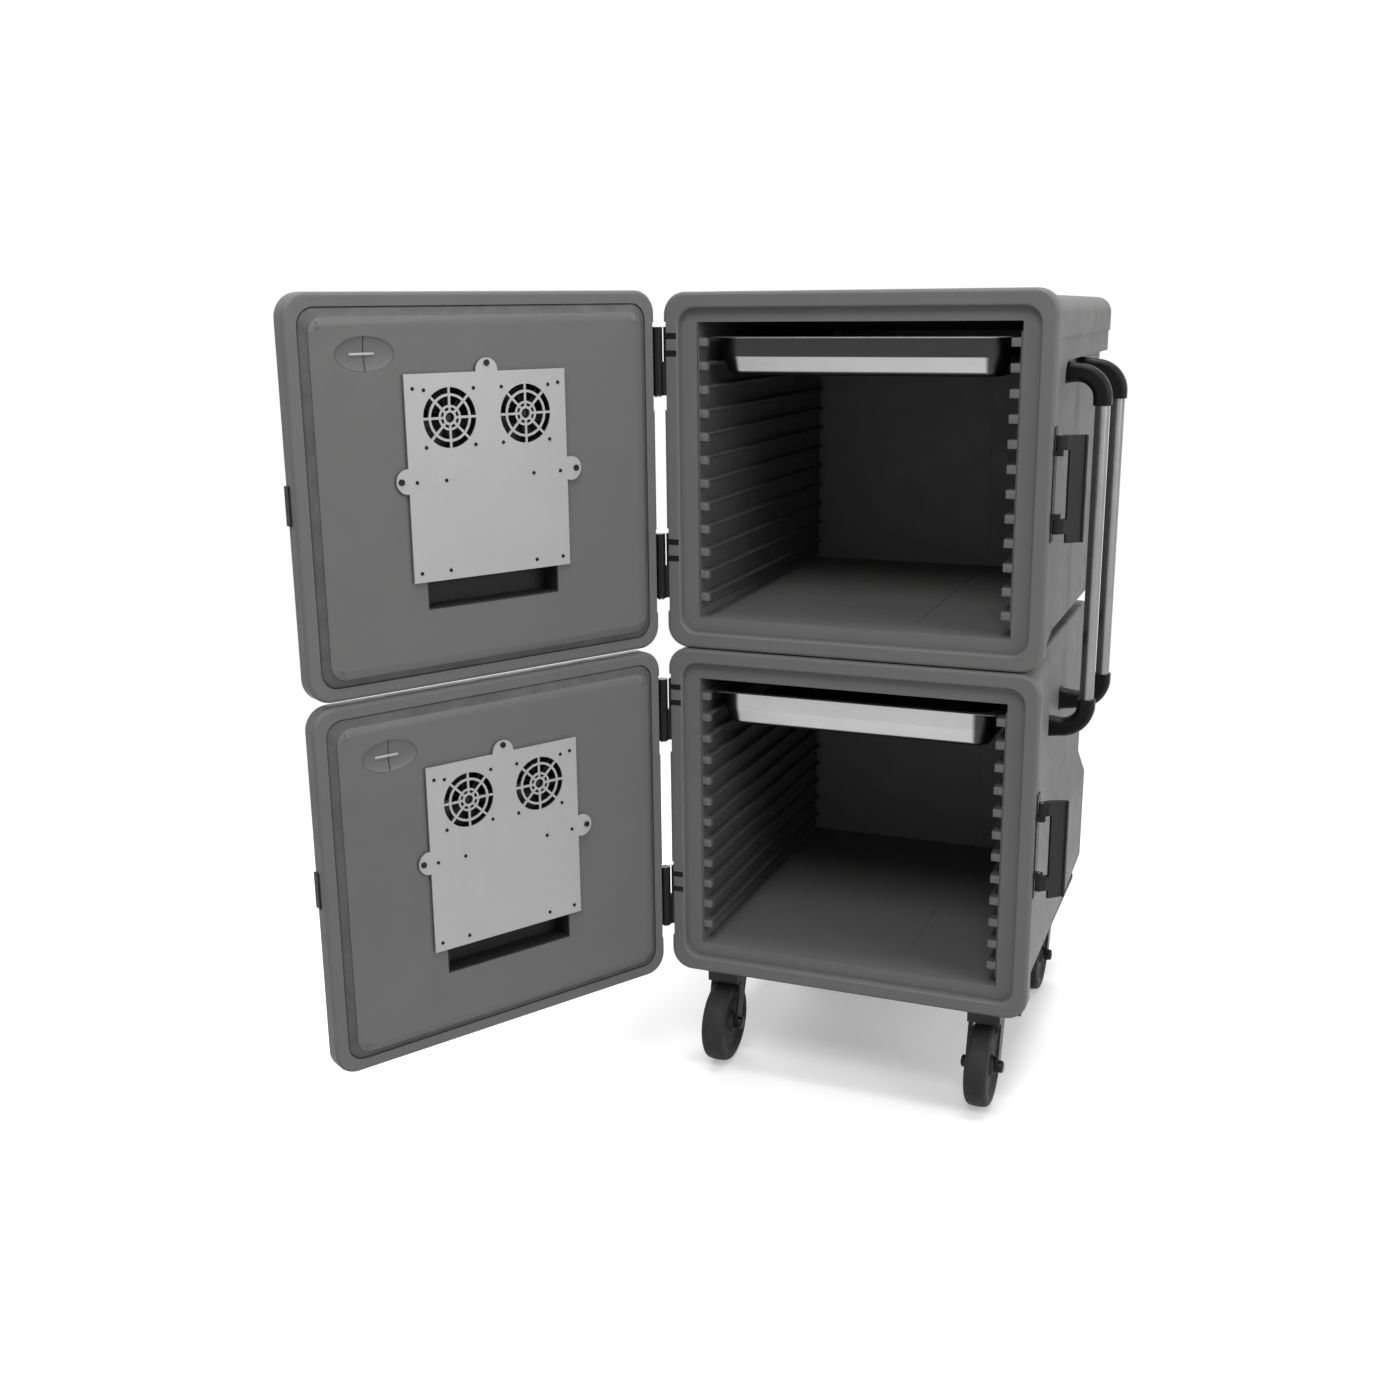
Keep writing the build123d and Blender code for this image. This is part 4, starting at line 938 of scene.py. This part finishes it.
class CART_OT_pans(CartOperator, bpy.types.Operator):
    """Drawn steel pans on the top ledges"""

    bl_idname = "cart.pans"
    bl_label = "Pans"

    def build(self, sizes):
        for box in BOXES:
            centre = point(0, PAN_MIDDLE, BOX_BASE[box] * 1000 + PAN_TOP)
            steps = self.wall_steps(sizes)
            reach = sum(outward for outward, rise in steps)
            rim_start = sizes.pan_rim_round - sizes.pan_wall
            half = Vector((*PAN_WALL_HALF, 0)) + Vector((rim_start, rim_start, 0))
            corner = PAN_CORNER + rim_start - reach
            core = half - Vector((corner + reach, corner + reach, 0))
            bm = bmesh.new()
            rounded_face(
                bm, centre - Vector((0, 0, PAN_DEPTH - sizes.pan_wall)), core.x + corner,
                core.y + corner, corner,
            )
            edges = [edge for edge in bm.edges if edge.is_boundary]
            edges = stepped(bm, edges, centre, core.x, core.y, steps)
            self.rim(bm, edges, centre, core, sizes)
            bmesh.ops.recalc_face_normals(bm, faces=bm.faces)
            bm.faces.ensure_lookup_table()
            lowest = min(bm.faces, key=lambda face: face.calc_center_median().z)
            if lowest.normal.z < 0:
                bmesh.ops.reverse_faces(bm, faces=bm.faces)
            self.mark_painted_shade(bm, box, centre, core, sizes)
            piece = placed(
                bm, f"{box}_food_pan", f"{box}_pan_body", FINISHES["pan"],
                (f"{box}_pan",),
            )
            sheet = piece.modifiers.new("Wall", "SOLIDIFY")
            sheet.thickness = sizes.pan_wall
            sheet.offset = -1
            weigh_normals(piece)

    def wall_steps(self, sizes):
        """Steps of (outward, upward) from a pan's bottom to its rim."""
        rim_steps = arc(sizes.pan_rim_round, 180, 90, 4)
        shoulder = sizes.pan_shoulder - sizes.pan_rim_round
        steps = arc(sizes.pan_bottom_round, -90, -PAN_DRAFT, 6)
        crease = arc(sizes.pan_crease, -PAN_DRAFT, -SHOULDER_DRAFT, 3)
        upper = [(shoulder * math.tan(math.radians(SHOULDER_DRAFT)), shoulder)] + rim_steps
        used = sum(rise for outward, rise in steps + crease + upper)
        slope = PAN_DEPTH - sizes.pan_wall - used
        return steps + [(slope * math.tan(math.radians(PAN_DRAFT)), slope)] + crease + upper

    def mark_painted_shade(self, bm, box, centre, core, sizes):
        """Marks where painted shade darkens a pan: its bottom and corners, and the upper pan's
        shoulder.
        """
        painted_shade = bm.verts.layers.float.new(PAINTED_SHADE_BAND)
        bottom_round = sizes.pan_bottom_round * (1 - math.sin(math.radians(PAN_DRAFT)))
        edge_slack, corner_slack, rim_slack = 3e-4, 1e-4, 2e-4
        flat_top = sizes.pan_shoulder + edge_slack
        flat_foot = PAN_DEPTH - sizes.pan_wall - bottom_round + edge_slack
        for vert in bm.verts:
            place = vert.co - centre
            on_flat = (box == "lower" or flat_top < -place.z) and -place.z < flat_foot
            past_core = (abs(place.x) - core.x, abs(place.y) - core.y)
            in_corner = min(past_core) > corner_slack
            at_rim = -place.z < sizes.pan_rim_round - rim_slack
            vert[painted_shade] = float(not at_rim and (in_corner or not on_flat))

    def rim(self, bm, edges, centre, core, sizes):
        """Flat rim out to the pan's full size, with its own smaller corners."""
        corner = sizes.pan_rim_corner
        outer = Vector((*PAN_RIM_HALF, 0)) - Vector((corner, corner, 0))
        made = bmesh.ops.extrude_edge_only(bm, edges=edges)["geom"]
        for vert in made:
            if isinstance(vert, bmesh.types.BMVert):
                flat = vert.co - centre
                flat.z = 0
                side = Vector((math.copysign(1, flat.x), math.copysign(1, flat.y), 0))
                away = (flat - core * side).normalized()
                vert.co = centre + outer * side + away * corner


class CART_OT_handles(CartOperator, bpy.types.Operator):
    """Push handles: tubes and elbows"""

    bl_idname = "cart.handles"
    bl_label = "Push handles"

    def build(self, sizes):
        for place in ("front", "rear"):
            softened(
                f"{place}_handle_tube", f"{place}_tube", FINISHES["tube"],
                sizes.sheet_round,
            )
            for level in ("upper", "lower"):
                softened(
                    f"{place}_handle_{level}_elbow", f"{place}_{level}_elbow",
                    FINISHES["plastic"], sizes.fitting_round,
                )


# Casters: the wheel's trail behind the stem, the crown's top and foot, and the top plates'
# underside with half the spacing of their bolts
CASTER_TRAIL = 0.038
CROWN_TOP, CROWN_FOOT = 0.1856, 0.1575
CROWN_RADIUS = 0.030
BOLT_LEVEL = 0.194
BOLT_HALF = (0.033, 0.040)

# Turned outlines in millimetres: the swivel ring as radius and height, the half axle as radius
# and distance from the wheel's middle, the half tyre and half wheel centre as distance and radius
SWIVEL_RING = ((27.1, 187.0), (28.6, 187.2), (29.3, 188.5), (28.6, 189.8), (27.1, 190.0))
HALF_AXLE = ((0.0, 38.6), (7.0, 38.6), (10.0, 37.2), (11.2, 35.0), (11.2, 30.2), (6.0, 30.0))
HALF_TYRE = (
    (15.5, 50.0), (18.5, 54.5), (20.6, 58.0), (21.0, 63.0), (20.4, 68.5), (18.0, 72.6),
    (14.5, 74.6),
)
TREAD_RADIUS = 75.95
HALF_CENTRE = (
    (23.0, 6.3), (23.0, 12.0), (22.2, 15.0), (20.5, 17.0), (15.0, 19.5), (13.6, 22.0),
    (13.6, 44.0), (14.4, 47.0), (15.5, 50.0),
)


class CART_OT_casters(CartOperator, bpy.types.Operator):
    """Base plate, caster plates, forks, wheels and axles"""

    bl_idname = "cart.casters"
    bl_label = "Base and casters"

    def build(self, sizes):
        self.base(sizes)
        softened(
            "caster_plates", "caster_top_plates", FINISHES["caster"],
            sizes.sheet_round,
        )
        rings = bmesh.new()
        bolts = bmesh.new()
        for spot in SPOTS:
            low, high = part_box(f"{spot}_caster_wheel")
            hub = (low + high) / 2
            stem = Vector((hub.x, hub.y + CASTER_TRAIL, 0))
            self.wheel(spot, hub, sizes)
            self.fork(spot, hub, stem)
            turned(
                rings,
                [stem + Vector((r / 1000, 0, z / 1000)) for r, z in SWIVEL_RING],
                stem,
                Vector((0, 0, 1)),
                40,
            )
            for dx in (-BOLT_HALF[0], BOLT_HALF[0]):
                for dy in (-BOLT_HALF[1], BOLT_HALF[1]):
                    place = Vector((stem.x + dx, stem.y + dy, BOLT_LEVEL))
                    down = Vector((0, 0, -1))
                    screw(bolts, place, down, sizes.bolt_radius, height=0.004, sides=6)
        placed(rings, "swivel_rings", "cart", FINISHES["zinc"])
        placed(bolts, "caster_bolts", "cart", FINISHES["zinc"], smooth_angle=30)

    def base(self, sizes):
        """Board under the lower box, set in at the sides, with a block at each front corner."""
        low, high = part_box("base_plate")
        centre = (low + high) / 2
        half = (high - low) / 2
        side_inset, end_inset, corner = 0.014, 0.0002, 0.010
        block, block_height = 0.022, 0.018
        bm = bmesh.new()
        rounded_face(
            bm, Vector((centre.x, centre.y, low.z)), half.x - side_inset, half.y - end_inset,
            corner,
        )
        rise = bmesh.ops.extrude_face_region(bm, geom=bm.faces[:])["geom"]
        bmesh.ops.translate(
            bm,
            vec=(0, 0, high.z - low.z),
            verts=[item for item in rise if isinstance(item, bmesh.types.BMVert)],
        )
        for hand in (-1, 1):
            x = centre.x + hand * (half.x - block / 2)
            place = Vector((x, low.y + block / 2, high.z - block_height / 2))
            bmesh.ops.create_cube(
                bm,
                size=1,
                matrix=Matrix.Translation(place)
                @ Matrix.Diagonal((block, block, block_height, 1)),
            )
        bmesh.ops.recalc_face_normals(bm, faces=bm.faces)
        sharp = [
            edge
            for edge in bm.edges
            if len(edge.link_faces) == 2 and edge.calc_face_angle() > math.radians(60)
        ]
        bmesh.ops.bevel(
            bm,
            geom=sharp,
            offset=sizes.fitting_round,
            affect="EDGES",
            segments=2,
            profile=0.5,
            material=-1,
        )
        placed(
            bm, "base_board", "cart", FINISHES["plastic"], ("base_plate",)
        )

    def fork(self, spot, hub, stem):
        """Swivel crown with two wide legs that taper to the axle, and the axle's heads."""
        body = f"{spot}_caster"
        top, foot, broken = CROWN_TOP, CROWN_FOOT, 0.0025
        block_width, block_front, block_gap = 0.0590, 0.007, 0.0006
        inner, outer = 0.0253, 0.0298
        head_ahead, head_level, head_radius, eye_radius = 0.006, 0.168, 0.0170, 0.0128
        bm = bmesh.new()
        profile = (
            (0, top), (CROWN_RADIUS - broken, top), (CROWN_RADIUS, top - broken),
            (CROWN_RADIUS, foot), (0, foot),
        )
        turned(
            bm,
            [stem + Vector((radius, 0, height)) for radius, height in profile],
            stem,
            Vector((0, 0, 1)),
            40,
        )
        front, back = hub.y - block_front, stem.y
        place = Vector((hub.x, (front + back) / 2, (top + foot) / 2))
        bmesh.ops.create_cube(
            bm,
            size=1,
            matrix=Matrix.Translation(place)
            @ Matrix.Diagonal((block_width, back - front, top - foot - block_gap, 1)),
        )
        side = Vector((1, 0, 0))
        for hand in (-1, 1):
            rim = []
            for reach in (inner, outer):
                head = stem + Vector((hand * reach, -head_ahead, head_level))
                rim += disc(bm, head, side, head_radius)
                rim += disc(bm, hub + Vector((hand * reach, 0, 0)), side, eye_radius)
            bmesh.ops.convex_hull(bm, input=rim, use_existing_faces=False)
        loose = [vert for vert in bm.verts if not vert.link_faces]
        bmesh.ops.delete(bm, geom=loose, context="VERTS")
        wires = [edge for edge in bm.edges if not edge.link_faces]
        bmesh.ops.delete(bm, geom=wires, context="EDGES")
        bmesh.ops.recalc_face_normals(bm, faces=bm.faces)
        bmesh.ops.dissolve_limit(bm, angle_limit=FLAT_BEND, verts=bm.verts[:], edges=bm.edges[:])
        placed(
            bm, f"{spot}_fork", body, FINISHES["caster"],
            (f"{spot}_caster_fork",),
        )
        outline = [hub + Vector((x / 1000, 0, radius / 1000)) for radius, x in HALF_AXLE]
        outline += [
            hub + Vector((-x / 1000, 0, radius / 1000)) for radius, x in reversed(HALF_AXLE)
        ]
        bm = bmesh.new()
        turned(bm, outline, hub, side, 32)
        placed(
            bm, f"{spot}_axle", body, FINISHES["screw"], (f"{spot}_caster_axle",),
            smooth_angle=50,
        )

    def wheel(self, spot, hub, sizes):
        """Wheel of a rubber tyre on a moulded centre with a bearing boss."""
        crown = sizes.tread_crown * 1000
        tyre = [*HALF_TYRE, (8.0, TREAD_RADIUS - 0.05 - crown * 0.2), (0.0, TREAD_RADIUS)]
        tyre += [(-x, r) for x, r in reversed(tyre[:-1])]
        centre = [*HALF_CENTRE, (0.0, 50.5), *((-x, r) for x, r in reversed(HALF_CENTRE))]
        for name, profile in (("tyre", tyre), ("wheel_centre", centre)):
            bm = bmesh.new()
            closed = profile + [profile[0]]
            turned(
                bm,
                [hub + Vector((x / 1000, 0, r / 1000)) for x, r in closed],
                hub,
                Vector((1, 0, 0)),
                72,
            )
            placed(
                bm, f"{spot}_{name}", f"{spot}_wheel", FINISHES["tread"],
                (f"{spot}_caster_wheel",), smooth_angle=35,
            )


# Stage: world and floor as they light the cart, the floor's tone and glow as it is seen, and
# the radii between which it fades to white
WORLD_FILL = 0.25
FLOOR_FILL = 0.35
FLOOR_TONE = 0.82
FLOOR_GLOW = 0.33
FADE_START, FADE_END = 1.3, 2.2
LAMP_SIZE = 2.4
LAMP_AIM = (0.1, 0.1, 0.7)


class CART_OT_stage(CartOperator, bpy.types.Operator):
    """Camera, floor, backdrop and soft light"""

    bl_idname = "cart.stage"
    bl_label = "Stage"

    def build(self, sizes):
        self.camera(bpy.context.scene.cart_view)
        self.world()
        self.floor()
        self.sun()
        for name, place, power in (
            ("Front light", (0.5, -3.4, 5.0), 115.0),
            ("Right light", (4.2, -1.2, 2.4), 63.0),
            ("Rear light", (-2.6, 4.4, 3.4), 105.0),
        ):
            self.lamp(name, Vector(place), power)

    def sun(self):
        """Wide soft light from straight above, which draws the shadow under the cart."""
        light = bpy.data.lights.new("Overhead light", "SUN")
        light.energy = 2.2
        light.angle = math.radians(25)
        sun = bpy.data.objects.new("Overhead light", light)
        sun.rotation_euler = (math.radians(-4), math.radians(4), 0)
        bpy.context.scene.collection.objects.link(sun)

    def camera(self, view):
        """Camera at the photograph's place and view."""
        yaw, pitch, roll = view.heading, view.pitch, view.roll
        right = Vector((math.cos(yaw), math.sin(yaw), 0))
        ahead = Vector(
            (-math.sin(yaw) * math.cos(pitch), math.cos(yaw) * math.cos(pitch), math.sin(pitch))
        )
        up = right.cross(ahead)
        right, up = (
            math.cos(roll) * right + math.sin(roll) * up,
            math.cos(roll) * up - math.sin(roll) * right,
        )
        camera = bpy.data.objects.new("Camera", bpy.data.cameras.new("Camera"))
        bpy.context.scene.collection.objects.link(camera)
        camera.data.sensor_width = 36
        camera.data.sensor_fit = "HORIZONTAL"
        camera.data.lens = view.focal
        camera.data.clip_end = 100
        turn = Matrix((right, up, -ahead)).transposed().to_4x4()
        camera.matrix_world = Matrix.Translation(Vector(view.place)) @ turn
        bpy.context.scene.camera = camera

    def world(self):
        """Soft fill on the cart, seen as white."""
        world = bpy.data.worlds.new("Studio")
        world.use_nodes = True
        tree = world.node_tree
        tree.nodes["Background"].inputs["Color"].default_value = (1, 1, 1, 1)
        tree.nodes["Background"].inputs["Strength"].default_value = WORLD_FILL
        seen = tree.nodes.new("ShaderNodeBackground")
        seen.inputs["Color"].default_value = (1, 1, 1, 1)
        seen.inputs["Strength"].default_value = 1.0
        mixed = tree.nodes.new("ShaderNodeMixShader")
        linked(
            tree,
            (seen_directly(tree), mixed.inputs["Fac"]),
            (tree.nodes["Background"].outputs["Background"], mixed.inputs[1]),
            (seen.outputs["Background"], mixed.inputs[2]),
            (mixed.outputs["Shader"], tree.nodes["World Output"].inputs["Surface"]),
        )
        bpy.context.scene.world = world
        bpy.context.scene.view_settings.view_transform = "Standard"

    def floor(self):
        """Pale floor that takes the cart's shadow and fades to white."""
        bm = bmesh.new()
        bmesh.ops.create_grid(bm, x_segments=1, y_segments=1, size=30)
        mesh = bpy.data.meshes.new("Floor")
        bm.to_mesh(mesh)
        bm.free()
        floor = bpy.data.objects.new("Floor", mesh)
        bpy.context.scene.collection.objects.link(floor)
        material = bpy.data.materials.new("studio_floor")
        material.use_nodes = True
        tree = material.node_tree
        dull = tree.nodes["Principled BSDF"]
        dull.inputs["Base Color"].default_value = (FLOOR_FILL, FLOOR_FILL, FLOOR_FILL, 1)
        pale = tree.nodes.new("ShaderNodeBsdfPrincipled")
        pale.inputs["Base Color"].default_value = (FLOOR_TONE, FLOOR_TONE, FLOOR_TONE, 1)
        for shader in (dull, pale):
            shader.inputs["Roughness"].default_value = 0.9
            shader.inputs["Specular IOR Level"].default_value = 0.1
        glow = tree.nodes.new("ShaderNodeEmission")
        glow.inputs["Strength"].default_value = FLOOR_GLOW
        white = tree.nodes.new("ShaderNodeEmission")
        white.inputs["Strength"].default_value = 1.0
        coords = tree.nodes.new("ShaderNodeTexCoord").outputs["Object"]
        away = tree.nodes.new("ShaderNodeVectorMath")
        away.operation = "LENGTH"
        total = tree.nodes.new("ShaderNodeAddShader")
        far = tree.nodes.new("ShaderNodeMixShader")
        mixed = tree.nodes.new("ShaderNodeMixShader")
        fade = spread(tree, away.outputs["Value"], FADE_START, FADE_END, 0.0, 1.0)
        linked(
            tree,
            (coords, away.inputs[0]),
            (pale.outputs["BSDF"], total.inputs[0]),
            (glow.outputs["Emission"], total.inputs[1]),
            (fade, far.inputs["Fac"]),
            (total.outputs["Shader"], far.inputs[1]),
            (white.outputs["Emission"], far.inputs[2]),
            (seen_directly(tree), mixed.inputs["Fac"]),
            (dull.outputs["BSDF"], mixed.inputs[1]),
            (far.outputs["Shader"], mixed.inputs[2]),
            (mixed.outputs["Shader"], tree.nodes["Material Output"].inputs["Surface"]),
        )
        floor.data.materials.append(material)

    def lamp(self, name, place, power):
        """Round area light aimed at the cart."""
        light = bpy.data.lights.new(name, "AREA")
        light.shape = "DISK"
        light.size = LAMP_SIZE
        light.energy = power
        lamp = bpy.data.objects.new(name, light)
        lamp.location = place
        aim = Vector(LAMP_AIM) - place
        lamp.rotation_mode = "QUATERNION"
        lamp.rotation_quaternion = aim.to_track_quat("-Z", "Y")
        bpy.context.scene.collection.objects.link(lamp)


class CART_PT_panel(bpy.types.Panel):
    """Sizes, finishes and pieces of the cart"""

    bl_idname = "CART_PT_panel"
    bl_label = "Food Cart"
    bl_space_type = "VIEW_3D"
    bl_region_type = "UI"
    bl_category = "Food Cart"

    def draw(self, context):
        scene = context.scene
        for group in (scene.cart_sizes, scene.cart_finishes, scene.cart_view):
            box = self.layout.box()
            for name in group.__annotations__:
                box.prop(group, name)
        for operator in OPERATORS:
            self.layout.operator(operator.bl_idname)


GROUPS = {"cart_finishes": CartFinishes, "cart_sizes": CartSizes, "cart_view": CartView}
OPERATORS = (
    CART_OT_boxes,
    CART_OT_doors,
    CART_OT_heaters,
    CART_OT_hinges,
    CART_OT_latches,
    CART_OT_pans,
    CART_OT_handles,
    CART_OT_casters,
    CART_OT_stage,
)
FINISHES = {}


def register():
    for item in (*GROUPS.values(), *OPERATORS, CART_PT_panel):
        bpy.utils.register_class(item)
    for name, group in GROUPS.items():
        setattr(bpy.types.Scene, name, PointerProperty(type=group))


def unregister():
    for name in GROUPS:
        delattr(bpy.types.Scene, name)
    for item in (*GROUPS.values(), *OPERATORS, CART_PT_panel):
        bpy.utils.unregister_class(item)


def main():
    register()
    FINISHES.update(make_finishes())
    for operator in OPERATORS:
        group, name = operator.bl_idname.split(".")
        getattr(getattr(bpy.ops, group), name)()


if __name__ == "__main__":
    main()
